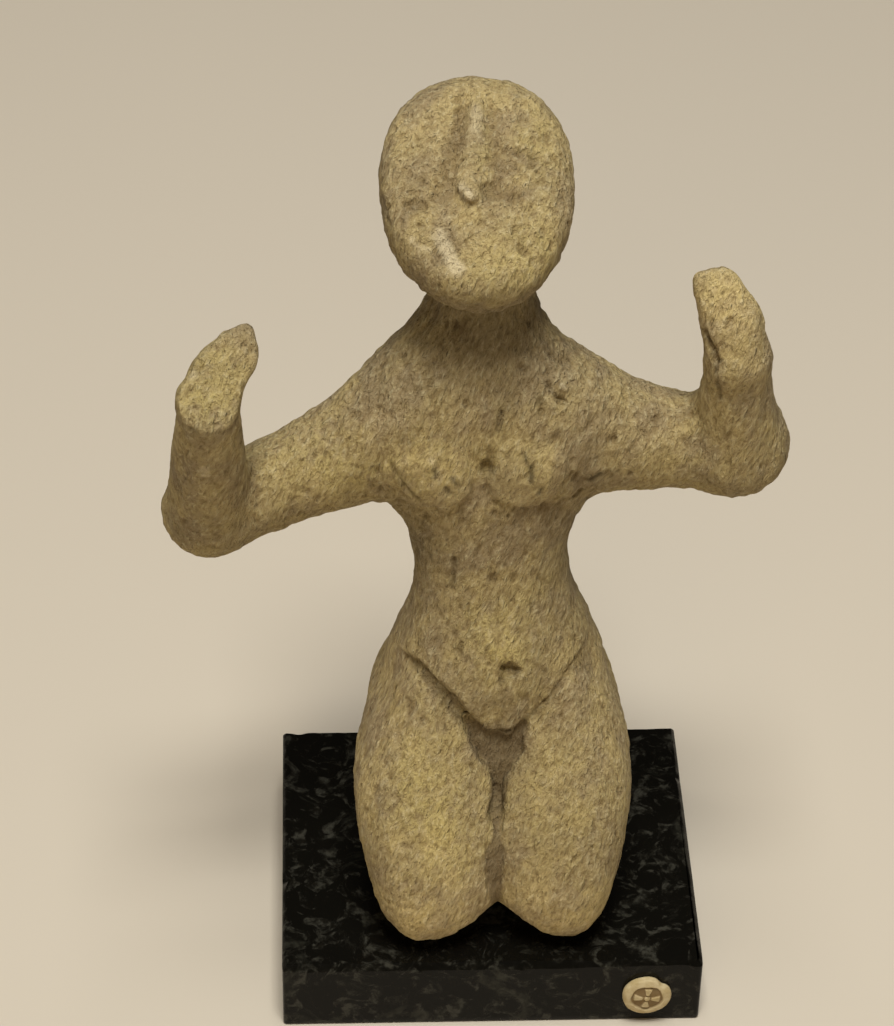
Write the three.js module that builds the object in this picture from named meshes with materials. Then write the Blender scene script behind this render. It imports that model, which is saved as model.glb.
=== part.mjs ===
import * as THREE from "three";

// ---------------------------------------------------------------------------
// Driving dimensions, all in millimetres.  X runs to the right of the front
// view, Y runs to the back, Z runs up from the underside of the base.
// ---------------------------------------------------------------------------
const GAP = 0.3; // glue line between touching pieces

// polished stone base
const BASE_W = 100; // left to right
const BASE_D = 81.6; // front to back
const BASE_H = 19.5;
const BASE_TOP_CHAMFER = 1.0; // around the top edges
const BASE_FOOT_CHAMFER = 0.4; // around the underside
const BASE_CORNER = 1.0; // flat on each upright corner

// round seal on the front face of the base
const SEAL_X = 36.9;
const SEAL_Z = 9.3;
const SEAL_R = 5.85;
const SEAL_EDGE = 1.1; // thickness at the rim
const SEAL_DOME = 1.2; // further rise of the face
const SEAL_CHIP_AT = 48; // degrees, 0 at the right and 90 at the top
const SEAL_CHIP_DEEP = 0.9;

// carved figure
const FOOT_Z = BASE_H + GAP; // flat underside of the knees, shins and feet
// outline seen from the front: [height, left edge X, right edge X]
const CONTOUR = [
  [20, -24.1, 24.74],
  [30, -27.61, 27.99],
  [40, -30.15, 30.33],
  [50, -32, 31.76],
  [60, -32.28, 32.3],
  [70, -29.8, 30.94],
  [80, -25.97, 27.77],
  [90, -23.78, 24.6],
  [100, -20.67, 20.89],
  [108, -18.64, 17.69],
  [116, -18.38, 16.11],
  [124, -19.78, 16.23],
  [133, -22.4, 18.64],
  [147, -25.94, 19.25],
  [160, -24.06, 16.28],
  [174, -19.86, 10.89],
  [190, -15.23, 5.77],
  [204, -14.58, 4.28],
];
// thighs: [height, front Y, back Y, half spacing of the two lobes, overlap at the middle]
const THIGH_SIDE = [
  [30, -39.4, -8, 15.5, 1.6],
  [40, -38.9, -5, 15.4, 3.8],
  [50, -36.9, 0, 15.2, 6],
  [60, -33.6, 6, 14.8, 5.2],
  [70, -29.3, 10, 14.2, 3],
  [80, -25, 11, 13.3, 2.2],
  [90, -20.8, 8, 12, 4],
  [102, -14.5, 3, 10, 6],
];
const THIGH_TUCK = [[20, 0], [74, 0], [84, 1], [94, 3], [104, 6]]; // drawn in under the waist
const THIGH_TOP = 100;
const THIGH_SQUARENESS = 2.3;
const GROOVE_X = 0.7; // line between the thighs
const KNEE_LEFT = { x: 16.76, end: 18.28 }; // end: height of the rounded lower end
const KNEE_RIGHT = { x: 18.88, end: 23.57 };
const SHIN = { kneeX: 14.6, kneeY: -14, kneeUp: 11.8, kneeR: 12.4, ankleX: 11.6, ankleY: 25, ankleUp: 8.2, ankleR: 8.8 };
const FOOT = { x: 10.8, y: 30.5, up: 5.8, rx: 7.8, ry: 8.5, rz: 6.4 };
const BUTTOCK = { x: 11.3, y: 5.5, z: 70, r: 15 };
// trunk: [height, belly front Y, core front Y, back Y, squareness of the section]
const TRUNK_SIDE = [
  [55, -20, -18, 14, 2.2],
  [70, -21.7, -18.6, 15.8, 2.2],
  [80, -22.9, -20, 15.2, 2.2],
  [90, -22.8, -20.4, 12.8, 2.2],
  [100, -20.6, -19.4, 10.2, 2.2],
  [108, -18.1, -17.7, 8.6, 2.2],
  [116, -16.2, -16.2, 7.9, 2.2],
  [124, -15.7, -15.7, 8.1, 2.2],
  [133, -15.6, -15.6, 8.8, 2.3],
  [147, -15.2, -15.2, 9.3, 2.4],
  [160, -13.2, -13.2, 9.2, 2.3],
  [174, -11.3, -11.3, 9.6, 2.1],
  [190, -10, -10, 11, 2],
  [204, -8, -8, 12, 2],
];
const CORE_NARROWING = [[55, 0.8], [70, 0.88], [80, 0.96], [88, 1], [96, 1], [204, 1]];
const FOLD = { x: 0.6, z: 79.5, riseLeft: 1.12, riseRight: 0.95, turn: 15.4, afterLeft: -0.35, afterRight: 0.3 }; // groin fold
// arms, from shoulder to finger tips: centres and radii
const ARM_FLATNESS = 1.25; // upper arms are thinner front to back than tall
const ARM_Y = -4;
const ARM_LEFT = {
  shoulder: [-17.33, -3, 159.75], rShoulder: 13.61,
  middle: [-38, -4, 144.28], rMiddle: 11.27,
  elbow: [-64.43, -7, 132.5], rElbow: 9.89,
  wrist: [-63.23, -25.5, 177.02], rWrist: 6.43,
  palm: [-57.48, -19, 184.85], rPalm: 4.58,
  tip: [-55.23, -16.5, 188.58], rTipRoot: 4.6, rTip: 2.2,
  heel: [-61.53, -21.5, 182.09], rHeel: 5.23,
  tipBlend: 2.5, heelBlend: 2.5, wristBlend: 1.5,
  flatAt: [-62, -30.3, 175.2], flatFacing: [8, 37], flatEdge: 0.9, // flat palm
};
const ARM_RIGHT = {
  shoulder: [14.24, -3, 157.69], rShoulder: 12.99,
  middle: [30.02, -4, 150.18], rMiddle: 11.67,
  elbow: [51.69, -6, 148.96], rElbow: 10.85,
  wrist: [49.64, -13, 178.75], rWrist: 5.95,
  palm: [44.45, -12.5, 195.02], rPalm: 5.39,
  tip: [36.9, -11, 200.3], rTipRoot: 4.2, rTip: 0.9,
  heel: [48.58, -13.5, 188.21], rHeel: 5.28,
  tipBlend: 2, heelBlend: 4, wristBlend: 5,
  flatAt: [47.5, -19, 186], flatFacing: [-14, 24], flatEdge: 4,
};
const BREAST = { leftX: -13.4, rightX: 7.5, y: -12, z: 149, rx: 9, ry: 4.9, rz: 8.6 };
// head: a thick oval disc tipped back, with a ridge for the nose
const HEAD = {
  at: [-6.29, 0, 212.32], faceUp: 48, roll: 2.08, halfWidth: 20.35, halfHeight: 24.63,
  taper: 0.07, squareness: 2.16, halfThickness: 8.2, edge: 5, faceRadius: 110, backEgg: [18.5, 22, 9.5],
};
const NOSE = { top: [0.4, 16.5, 6.3], tip: [-1.6, -1.6, 7.6], rTop: 0.8, rTip: 2.6 };

// ---------------------------------------------------------------------------
// Small field functions: every one returns a signed distance in millimetres,
// negative inside.
// ---------------------------------------------------------------------------
const hyp = Math.hypot;
const smin = (a, b, k) => {
  const h = Math.max(k - Math.abs(a - b), 0) / k;
  return Math.min(a, b) - h * h * k * 0.25;
};
const smax = (a, b, k) => -smin(-a, -b, k);

function ball(x, y, z, c, r) {
  return hyp(x - c[0], y - c[1], z - c[2]) - r;
}

function egg(x, y, z, rx, ry, rz) {
  const k0 = hyp(x / rx, y / ry, z / rz);
  const k1 = hyp(x / (rx * rx), y / (ry * ry), z / (rz * rz));
  return (k0 * (k0 - 1)) / Math.max(k1, 1e-9);
}

// a rod with round ends of two different radii
function rod(x, y, z, a, b, r1, r2) {
  const bx = b[0] - a[0], by = b[1] - a[1], bz = b[2] - a[2];
  const l2 = bx * bx + by * by + bz * bz, rr = r1 - r2;
  const a2 = l2 - rr * rr, il2 = 1 / l2;
  const px = x - a[0], py = y - a[1], pz = z - a[2];
  const u = px * bx + py * by + pz * bz, w = u - l2;
  const tx = px * l2 - bx * u, ty = py * l2 - by * u, tz = pz * l2 - bz * u;
  const x2 = tx * tx + ty * ty + tz * tz, u2 = u * u * l2, w2 = w * w * l2;
  const k = Math.sign(rr) * rr * rr * x2;
  if (Math.sign(w) * a2 * w2 > k) return Math.sqrt(x2 + w2) * il2 - r2;
  if (Math.sign(u) * a2 * u2 < k) return Math.sqrt(x2 + u2) * il2 - r1;
  return (Math.sqrt(x2 * a2 * il2) + u * rr) * il2 - r1;
}

// an upright column with a rounded-square section; end > 0 counts down into a
// rounded lower end of height endH
function column(x, y, w, b, n, end = 0, endH = 1, m = 2.9) {
  const ax = Math.abs(x) / w, ay = Math.abs(y) / b;
  const f = Math.max(ax ** n + ay ** n, 1e-12) ** (1 / n);
  const gx = (ax / f) ** (n - 1) / w, gy = (ay / f) ** (n - 1) / b;
  const floor = -Math.min(w, b);
  if (!(end > 0)) return Math.max((f - 1) / hyp(gx, gy), floor);
  const e = end / endH, k = (f ** m + e ** m) ** (1 / m);
  const g = Math.sqrt((f / k) ** (2 * m - 2) * (gx * gx + gy * gy) + ((e / k) ** (m - 1) / endH) ** 2);
  return Math.max((k - 1) / g, floor);
}

// smooth curve through the rows of a table: [position, value, value, ...]
function curve(rows) {
  const n = rows.length, cols = rows[0].length - 1;
  const slope = rows.map((row, i) => {
    const p = rows[Math.max(i - 1, 0)], q = rows[Math.min(i + 1, n - 1)];
    return row.map((v, c) => (c ? (q[c] - p[c]) / (q[0] - p[0]) : 0));
  });
  return (t) => {
    t = Math.min(Math.max(t, rows[0][0]), rows[n - 1][0]);
    let i = 0;
    while (i < n - 2 && t >= rows[i + 1][0]) i++;
    const h = rows[i + 1][0] - rows[i][0], s = (t - rows[i][0]) / h, s2 = s * s, s3 = s2 * s;
    const out = new Array(cols);
    for (let c = 1; c <= cols; c++)
      out[c - 1] =
        (2 * s3 - 3 * s2 + 1) * rows[i][c] + (s3 - 2 * s2 + s) * slope[i][c] * h +
        (-2 * s3 + 3 * s2) * rows[i + 1][c] + (s3 - s2) * slope[i + 1][c] * h;
    return out;
  };
}

const facing = (azDeg, elDeg) => {
  const a = (azDeg * Math.PI) / 180, e = (elDeg * Math.PI) / 180;
  return [Math.sin(a) * Math.cos(e), -Math.cos(a) * Math.cos(e), Math.sin(e)];
};
const plane = (x, y, z, at, n) => (x - at[0]) * n[0] + (y - at[1]) * n[1] + (z - at[2]) * n[2];

// ---------------------------------------------------------------------------
// The figure
// ---------------------------------------------------------------------------
const contour = curve(CONTOUR), thighSide = curve(THIGH_SIDE), trunkSide = curve(TRUNK_SIDE);
const tuck = curve(THIGH_TUCK), narrowing = curve(CORE_NARROWING);

function thighs(x, y, z) {
  const [left, right] = contour(z), [front, back, centre, overlap] = thighSide(z), [in_] = tuck(z);
  const depth = (back - front) / 2, cy = (back + front) / 2;
  let d = Infinity;
  for (const [s, edge, knee] of [[-1, -left, KNEE_LEFT], [1, right, KNEE_RIGHT]]) {
    const cx = centre + (knee.x - 15.5), q = x * s - cx;
    const half = q > 0 ? Math.max(edge - in_ - cx, 2) : cx - s * GROOVE_X + overlap;
    const lobe = smax(column(q, y - cy, half, depth, THIGH_SQUARENESS, FOOT_Z + knee.end - z, knee.end), z - THIGH_TOP, 10);
    d = d === Infinity ? lobe : smin(d, lobe, 1.6);
  }
  return d;
}

function shins(x, y, z) {
  let d = Infinity;
  for (const s of [-1, 1]) {
    const leg = rod(x, y, z, [s * SHIN.kneeX, SHIN.kneeY, FOOT_Z + SHIN.kneeUp], [s * SHIN.ankleX, SHIN.ankleY, FOOT_Z + SHIN.ankleUp], SHIN.kneeR, SHIN.ankleR);
    const foot = egg(x - s * FOOT.x, y - FOOT.y, z - FOOT_Z - FOOT.up, FOOT.rx, FOOT.ry, FOOT.rz);
    const both = smin(leg, foot, 5);
    d = d === Infinity ? both : smin(d, both, 2.5);
  }
  return d;
}

// the belly stands a little proud of the thighs along the groin fold
function trunk(x, y, z) {
  const [left, right] = contour(z), [belly, core, back, n] = trunkSide(z);
  const cx = (left + right) / 2, half = ((right - left) / 2) * narrowing(z)[0];
  const inner = smax(column(x - cx, y - (core + back) / 2, half, (back - core) / 2, n), 64 - z, 8);
  const outer = column(x - cx, y - (belly + back) / 2, half, (back - belly) / 2, n);
  const rise = x < FOLD.x ? FOLD.riseLeft : FOLD.riseRight;
  const away = Math.sqrt((x - FOLD.x) ** 2 + 2) - 1, after = x < FOLD.x ? FOLD.afterLeft : FOLD.afterRight;
  const line = FOLD.z + rise * smin(away, FOLD.turn + after * (away - FOLD.turn), 4);
  const below = (line - z) / Math.sqrt(1 + rise * rise);
  return smax(smin(inner, smax(outer, below, 1.6), 0.8), z - 206, 4);
}

const flatten = (p) => [p[0], ARM_Y + (p[1] - ARM_Y) * ARM_FLATNESS, p[2]];
function upperArm(x, y, z, arm) {
  const yy = ARM_Y + (y - ARM_Y) * ARM_FLATNESS;
  const s = flatten(arm.shoulder), m = flatten(arm.middle), e = flatten(arm.elbow);
  return smin(rod(x, yy, z, s, m, arm.rShoulder, arm.rMiddle), rod(x, yy, z, m, e, arm.rMiddle, arm.rElbow * 1.03), 4) * 0.93;
}
function forearm(x, y, z, arm) {
  let hand = smin(rod(x, y, z, arm.wrist, arm.palm, arm.rWrist, arm.rPalm), rod(x, y, z, arm.palm, arm.tip, arm.rTipRoot, arm.rTip), arm.tipBlend);
  hand = smin(hand, ball(x, y, z, arm.heel, arm.rHeel), arm.heelBlend);
  const d = smin(rod(x, y, z, arm.elbow, arm.wrist, arm.rElbow, arm.rWrist), hand, arm.wristBlend);
  return smax(d, plane(x, y, z, arm.flatAt, facing(...arm.flatFacing)), arm.flatEdge);
}

const headAxes = (() => {
  const e = (HEAD.faceUp * Math.PI) / 180, r = (HEAD.roll * Math.PI) / 180;
  const u = [1, 0, 0], v = [0, Math.sin(e), Math.cos(e)], n = [0, -Math.cos(e), Math.sin(e)];
  const mix = (p, q, a, b) => p.map((t, i) => a * t + b * q[i]);
  return [mix(u, v, Math.cos(r), Math.sin(r)), mix(u, v, -Math.sin(r), Math.cos(r)), n];
})();
function head(x, y, z) {
  const q = headAxes.map((a) => plane(x, y, z, HEAD.at, a));
  const [u, v, n] = q;
  const out = column(u, v, HEAD.halfWidth * (1 + (HEAD.taper * v) / HEAD.halfHeight), HEAD.halfHeight, HEAD.squareness) + HEAD.edge;
  const bow = n + (u * u + v * v) / (2 * HEAD.faceRadius);
  const thick = (bow > 0 ? bow : -n) - (HEAD.halfThickness - HEAD.edge);
  let d = Math.min(Math.max(out, thick), 0) + hyp(Math.max(out, 0), Math.max(thick, 0)) - HEAD.edge;
  d = smin(d, egg(u, v + 1, n + 4, ...HEAD.backEgg), 3);
  return smin(d, rod(u, v, n, NOSE.top, NOSE.tip, NOSE.rTop, NOSE.rTip), 1.8);
}

function figure(x, y, z) {
  let d = smin(thighs(x, y, z), shins(x, y, z), 6);
  d = smin(d, trunk(x, y, z), 2);
  for (const s of [-1, 1]) d = smin(d, ball(x, y, z, [s * BUTTOCK.x, BUTTOCK.y, BUTTOCK.z], BUTTOCK.r), 7);
  for (const arm of [ARM_LEFT, ARM_RIGHT]) d = smin(d, upperArm(x, y, z, arm), 13);
  d = smin(d, forearm(x, y, z, ARM_LEFT), 2.5);
  d = smin(d, forearm(x, y, z, ARM_RIGHT), 4);
  for (const cx of [BREAST.leftX, BREAST.rightX]) d = smin(d, egg(x - cx, y - BREAST.y, z - BREAST.z, BREAST.rx, BREAST.ry, BREAST.rz), 4);
  d = smin(d, head(x, y, z), 3);
  return smax(d, FOOT_Z - z, 1);
}

// ---------------------------------------------------------------------------
// Closed surface of a field: one vertex per cell that the surface crosses,
// moved onto the surface itself.
// ---------------------------------------------------------------------------
function skin(field, lo, hi, h) {
  const n = [0, 1, 2].map((i) => Math.ceil((hi[i] - lo[i]) / h) + 1);
  const at = (i, j, k) => i + n[0] * (j + n[1] * k);
  const g = new Float32Array(n[0] * n[1] * n[2]);
  for (let k = 0; k < n[2]; k++)
    for (let j = 0; j < n[1]; j++)
      for (let i = 0; i < n[0]; i++) g[at(i, j, k)] = field(lo[0] + i * h, lo[1] + j * h, lo[2] + k * h);
  const cell = new Int32Array(g.length).fill(-1), pts = [];
  const corner = [];
  for (let c = 0; c < 8; c++) corner.push([c & 1, (c >> 1) & 1, (c >> 2) & 1]);
  const edges = [];
  for (let a = 0; a < 8; a++) for (const bit of [1, 2, 4]) if (!(a & bit)) edges.push([a, a | bit]);
  for (let k = 0; k < n[2] - 1; k++)
    for (let j = 0; j < n[1] - 1; j++)
      for (let i = 0; i < n[0] - 1; i++) {
        const v = corner.map((c) => g[at(i + c[0], j + c[1], k + c[2])]);
        let inside = 0;
        for (const t of v) if (t < 0) inside++;
        if (inside === 0 || inside === 8) continue;
        const s = [0, 0, 0];
        let count = 0;
        for (const [a, b] of edges) {
          if (v[a] < 0 === v[b] < 0) continue;
          const t = v[a] / (v[a] - v[b]);
          for (let q = 0; q < 3; q++) s[q] += corner[a][q] + (corner[b][q] - corner[a][q]) * t;
          count++;
        }
        cell[at(i, j, k)] = pts.length;
        pts.push([lo[0] + h * (i + s[0] / count), lo[1] + h * (j + s[1] / count), lo[2] + h * (k + s[2] / count)]);
      }
  const E = 0.05;
  for (let pass = 0; pass < 3; pass++)
    for (const p of pts) {
      const f = field(...p);
      const d = [0, 1, 2].map((q) => {
        const a = p.slice(), b = p.slice();
        a[q] += E;
        b[q] -= E;
        return (field(...a) - field(...b)) / (2 * E);
      });
      const s = Math.max(-h / 2, Math.min(h / 2, f / Math.max(d[0] ** 2 + d[1] ** 2 + d[2] ** 2, 1e-3)));
      for (let q = 0; q < 3; q++) p[q] -= d[q] * s;
    }
  const tris = [];
  const dist2 = (a, b) => (a[0] - b[0]) ** 2 + (a[1] - b[1]) ** 2 + (a[2] - b[2]) ** 2;
  for (let axis = 0; axis < 3; axis++) {
    const e = [0, 0, 0], du = [0, 0, 0], dv = [0, 0, 0];
    e[axis] = 1;
    du[(axis + 1) % 3] = 1;
    dv[(axis + 2) % 3] = 1;
    for (let k = 1; k < n[2] - 1; k++)
      for (let j = 1; j < n[1] - 1; j++)
        for (let i = 1; i < n[0] - 1; i++) {
          const a = g[at(i, j, k)] < 0, b = g[at(i + e[0], j + e[1], k + e[2])] < 0;
          if (a === b) continue;
          const c = (p, q) => cell[at(i - p * du[0] - q * dv[0], j - p * du[1] - q * dv[1], k - p * du[2] - q * dv[2])];
          let quad = [c(1, 1), c(0, 1), c(0, 0), c(1, 0)];
          if (!a) quad.reverse();
          if (dist2(pts[quad[0]], pts[quad[2]]) > dist2(pts[quad[1]], pts[quad[3]])) quad = [quad[1], quad[2], quad[3], quad[0]];
          tris.push([quad[0], quad[1], quad[2]], [quad[0], quad[2], quad[3]]);
        }
  }
  return { pts, tris };
}

// ---------------------------------------------------------------------------
// Fewer, larger facets where the surface is calm: edges are folded away in the
// order of the least change of shape.
// ---------------------------------------------------------------------------
function simplify({ pts, tris }, target) {
  const n = pts.length, Q = [], near = [];
  for (let i = 0; i < n; i++) { Q.push(new Float64Array(10)); near.push(new Set()); }
  const alive = new Uint8Array(tris.length).fill(1);
  let left = tris.length;
  const sub = (a, b) => [a[0] - b[0], a[1] - b[1], a[2] - b[2]];
  const cross = (a, b) => [a[1] * b[2] - a[2] * b[1], a[2] * b[0] - a[0] * b[2], a[0] * b[1] - a[1] * b[0]];
  const dot = (a, b) => a[0] * b[0] + a[1] * b[1] + a[2] * b[2];
  const normal = (p, q, r) => cross(sub(q, p), sub(r, p));
  tris.forEach((t, f) => {
    const c = normal(pts[t[0]], pts[t[1]], pts[t[2]]), area = Math.sqrt(dot(c, c)) || 1e-12;
    const [a, b, e] = c.map((v) => v / area), d = -dot([a, b, e], pts[t[0]]);
    const q = [a * a, a * b, a * e, a * d, b * b, b * e, b * d, e * e, e * d, d * d];
    for (const v of t) { for (let i = 0; i < 10; i++) Q[v][i] += q[i] * area; near[v].add(f); }
  });
  const rank = (u, v) => {
    const q = new Float64Array(10);
    for (let i = 0; i < 10; i++) q[i] = Q[u][i] + Q[v][i];
    const mid = [0, 1, 2].map((i) => (pts[u][i] + pts[v][i]) / 2);
    const w = 1e-3 * (q[0] + q[4] + q[7]) + 1e-9;
    const A = [q[0] + w, q[1], q[2], q[4] + w, q[5], q[7] + w];
    const r = [w * mid[0] - q[3], w * mid[1] - q[6], w * mid[2] - q[8]];
    const c0 = A[3] * A[5] - A[4] * A[4], c1 = A[2] * A[4] - A[1] * A[5], c2 = A[1] * A[4] - A[2] * A[3];
    const det = A[0] * c0 + A[1] * c1 + A[2] * c2;
    const p = [
      (c0 * r[0] + c1 * r[1] + c2 * r[2]) / det,
      (c1 * r[0] + (A[0] * A[5] - A[2] * A[2]) * r[1] + (A[1] * A[2] - A[0] * A[4]) * r[2]) / det,
      (c2 * r[0] + (A[1] * A[2] - A[0] * A[4]) * r[1] + (A[0] * A[3] - A[1] * A[1]) * r[2]) / det,
    ];
    const [x, y, z] = p;
    const err = q[0] * x * x + 2 * q[1] * x * y + 2 * q[2] * x * z + 2 * q[3] * x + q[4] * y * y + 2 * q[5] * y * z + 2 * q[6] * y + q[7] * z * z + 2 * q[8] * z + q[9];
    const e = sub(pts[u], pts[v]);
    return { u, v, p, cost: Math.max(err, 0) + 2e-3 * dot(e, e), s: stamp[u] + stamp[v] };
  };
  const stamp = new Uint32Array(n), heap = [];
  const push = (x) => {
    let i = heap.push(x) - 1;
    while (i > 0) {
      const up = (i - 1) >> 1;
      if (heap[up].cost <= heap[i].cost) break;
      [heap[up], heap[i]] = [heap[i], heap[up]];
      i = up;
    }
  };
  const pop = () => {
    const top = heap[0], last = heap.pop();
    if (heap.length) {
      heap[0] = last;
      for (let i = 0; ; ) {
        let c = 2 * i + 1;
        if (c >= heap.length) break;
        if (c + 1 < heap.length && heap[c + 1].cost < heap[c].cost) c++;
        if (heap[i].cost <= heap[c].cost) break;
        [heap[i], heap[c]] = [heap[c], heap[i]];
        i = c;
      }
    }
    return top;
  };
  const around = (v) => {
    const s = new Set();
    for (const f of near[v]) for (const w of tris[f]) if (w !== v) s.add(w);
    return s;
  };
  for (let v = 0; v < n; v++) for (const w of around(v)) if (v < w) push(rank(v, w));
  const gone = new Uint8Array(n);
  while (left > target && heap.length) {
    const { u, v, p, s } = pop();
    if (gone[u] || gone[v] || s !== stamp[u] + stamp[v]) continue;
    const nu = around(u), nv = around(v);
    let shared = 0;
    for (const w of nu) if (nv.has(w)) shared++;
    if (shared !== 2) continue;
    let ok = true;
    for (const [a, b] of [[u, v], [v, u]])
      for (const f of near[a]) {
        const t = tris[f];
        if (t.includes(b)) continue;
        const before = normal(pts[t[0]], pts[t[1]], pts[t[2]]);
        const q = t.map((w) => (w === a ? p : pts[w]));
        const after = normal(...q), la = Math.sqrt(dot(after, after)), lb = Math.sqrt(dot(before, before));
        const longest = Math.max(dot(sub(q[0], q[1]), sub(q[0], q[1])), dot(sub(q[1], q[2]), sub(q[1], q[2])), dot(sub(q[2], q[0]), sub(q[2], q[0])));
        if (dot(before, after) < 0.35 * la * lb || la < 0.12 * longest) ok = false;
      }
    if (!ok) continue;
    for (const f of [...near[v]]) {
      const t = tris[f];
      if (t.includes(u)) {
        alive[f] = 0;
        left--;
        for (const w of t) near[w].delete(f);
      } else {
        t[t.indexOf(v)] = u;
        near[u].add(f);
      }
    }
    near[v].clear();
    gone[v] = 1;
    pts[u] = p;
    for (let i = 0; i < 10; i++) Q[u][i] += Q[v][i];
    stamp[u] += 1 + stamp[v];
    for (const w of around(u)) push(rank(u, w));
  }
  const id = new Int32Array(n).fill(-1), outP = [], outT = [];
  tris.forEach((t, f) => {
    if (!alive[f]) return;
    outT.push(t.map((w) => (id[w] < 0 ? ((id[w] = outP.length), outP.push(pts[w]), id[w]) : id[w])));
  });
  return { pts: outP, tris: outT };
}

// ---------------------------------------------------------------------------
// Meshes
// ---------------------------------------------------------------------------
function toGeometry({ pts, tris }) {
  const g = new THREE.BufferGeometry();
  g.setAttribute("position", new THREE.BufferAttribute(new Float32Array(pts.flat()), 3));
  g.setIndex(tris.flat());
  const flat = g.toNonIndexed();
  flat.computeVertexNormals();
  return flat;
}

// closed body through rings of the same number of points, first ring lowest
function rings(list) {
  const pts = list.flat(), n = list[0].length, tris = [];
  for (let r = 0; r + 1 < list.length; r++)
    for (let i = 0; i < n; i++) {
      const a = r * n + i, b = r * n + ((i + 1) % n), c = a + n, d = b + n;
      tris.push([a, b, d], [a, d, c]);
    }
  const top = (list.length - 1) * n;
  for (let i = 1; i + 1 < n; i++) tris.push([0, i + 1, i], [top, top + i, top + i + 1]);
  return { pts, tris };
}

function baseBody() {
  const plan = (inset, z) => {
    const w = BASE_W / 2 - inset, d = BASE_D / 2 - inset, c = BASE_CORNER;
    return [[w, -d + c], [w, d - c], [w - c, d], [-w + c, d], [-w, d - c], [-w, -d + c], [-w + c, -d], [w - c, -d]].map(([x, y]) => [x, y, z]);
  };
  return rings([plan(BASE_FOOT_CHAMFER, 0), plan(0, BASE_FOOT_CHAMFER), plan(0, BASE_H - BASE_TOP_CHAMFER), plan(BASE_TOP_CHAMFER, BASE_H)]);
}

function sealBody() {
  const N = 40, back = -BASE_D / 2 - GAP;
  const edge = (deg) => {
    let away = Math.abs(((deg - SEAL_CHIP_AT + 540) % 360) - 180);
    return SEAL_R * (1 + 0.012 * Math.sin(3 * deg * Math.PI / 180 + 1)) - SEAL_CHIP_DEEP * Math.exp(-((away / 16) ** 2));
  };
  const ring = (f, t) =>
    Array.from({ length: N }, (_, i) => {
      const deg = (i * 360) / N, r = edge(deg) * f, a = (deg * Math.PI) / 180;
      return [SEAL_X + r * Math.cos(a), back - t, SEAL_Z + r * Math.sin(a)];
    });
  const list = [ring(0.95, 0), ring(1, 0.35), ring(1, SEAL_EDGE)];
  for (const f of [0.95, 0.85, 0.68, 0.45, 0.2]) list.push(ring(f, SEAL_EDGE + SEAL_DOME * Math.sqrt(1 - f * f)));
  return rings(list);
}

const FIGURE_LOW = [-80, -44, FOOT_Z - 3.1], FIGURE_HIGH = [70, 44, 237];
const CELL = 1.5, FIGURE_FACETS = 8600;

const stone = new THREE.MeshStandardMaterial({ color: 0xa8956b, roughness: 0.85, metalness: 0 });
const blackStone = new THREE.MeshStandardMaterial({ color: 0x1d1b17, roughness: 0.2, metalness: 0 });
const cream = new THREE.MeshStandardMaterial({ color: 0x9c8a62, roughness: 0.7, metalness: 0 });

const group = new THREE.Group();
const add = (name, body, material) => {
  const mesh = new THREE.Mesh(toGeometry(body), material);
  mesh.name = name;
  group.add(mesh);
};
add("figurine", simplify(skin(figure, FIGURE_LOW, FIGURE_HIGH, CELL), FIGURE_FACETS), stone);
add("stone_base", baseBody(), blackStone);
add("round_seal", sealBody(), cream);

export default group;
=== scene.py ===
import math

import bmesh
import bpy
import numpy as np
from mathutils import Matrix, Vector


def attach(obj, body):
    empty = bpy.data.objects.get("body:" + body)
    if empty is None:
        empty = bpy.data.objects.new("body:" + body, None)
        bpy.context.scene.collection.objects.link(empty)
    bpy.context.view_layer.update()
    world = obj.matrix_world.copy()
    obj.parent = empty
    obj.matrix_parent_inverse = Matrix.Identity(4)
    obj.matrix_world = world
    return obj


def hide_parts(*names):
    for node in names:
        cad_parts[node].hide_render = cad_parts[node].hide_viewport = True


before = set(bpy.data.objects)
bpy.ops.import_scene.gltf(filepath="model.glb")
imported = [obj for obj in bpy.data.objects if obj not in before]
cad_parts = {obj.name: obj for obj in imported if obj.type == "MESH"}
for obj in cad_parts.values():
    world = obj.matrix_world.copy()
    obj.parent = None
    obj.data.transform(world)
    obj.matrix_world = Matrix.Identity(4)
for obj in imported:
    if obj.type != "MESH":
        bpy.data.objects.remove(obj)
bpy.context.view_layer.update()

MM = 0.001

# ---------------------------------------------------------------------------
# The carved figure, in millimetres: the same named sizes as the solid, with
# crisper creases, tool marks and pits.
# ---------------------------------------------------------------------------
BASE_W, BASE_D, BASE_H = 100.0, 81.6, 19.5
FOOT_Z = BASE_H + 0.3
REST_Z = BASE_H + 0.04  # the carving is bedded right down onto the block
CONTOUR = [(20, -24.1, 24.74), (30, -27.61, 27.99), (40, -30.15, 30.33), (50, -32, 31.76), (60, -32.28, 32.3), (70, -29.8, 30.94), (80, -25.97, 27.77), (90, -23.78, 24.6), (100, -20.67, 20.89), (108, -18.64, 17.69), (116, -18.38, 16.11), (124, -19.78, 16.23), (133, -22.4, 18.64), (147, -25.94, 19.25), (160, -24.06, 16.28), (174, -19.86, 10.89), (190, -15.23, 5.77), (204, -14.58, 4.28)]  # height, left edge X, right edge X
THIGH_SIDE = [(30, -39.4, -8, 15.5, 1.6), (40, -38.9, -5, 15.4, 3.8), (50, -36.9, 0, 15.2, 6), (60, -33.6, 6, 14.8, 5.2), (70, -29.3, 10, 14.2, 3), (80, -25, 11, 13.3, 2.2), (90, -20.8, 8, 12, 4), (102, -14.5, 3, 10, 6)]  # height, front Y, back Y, lobe centre, overlap
THIGH_TUCK = [(20, 0), (74, 0), (84, 1), (94, 3), (104, 6)]
KNEE_L, KNEE_R = (16.76, 18.28), (18.88, 23.57)  # centre X, height of the rounded end
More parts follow.
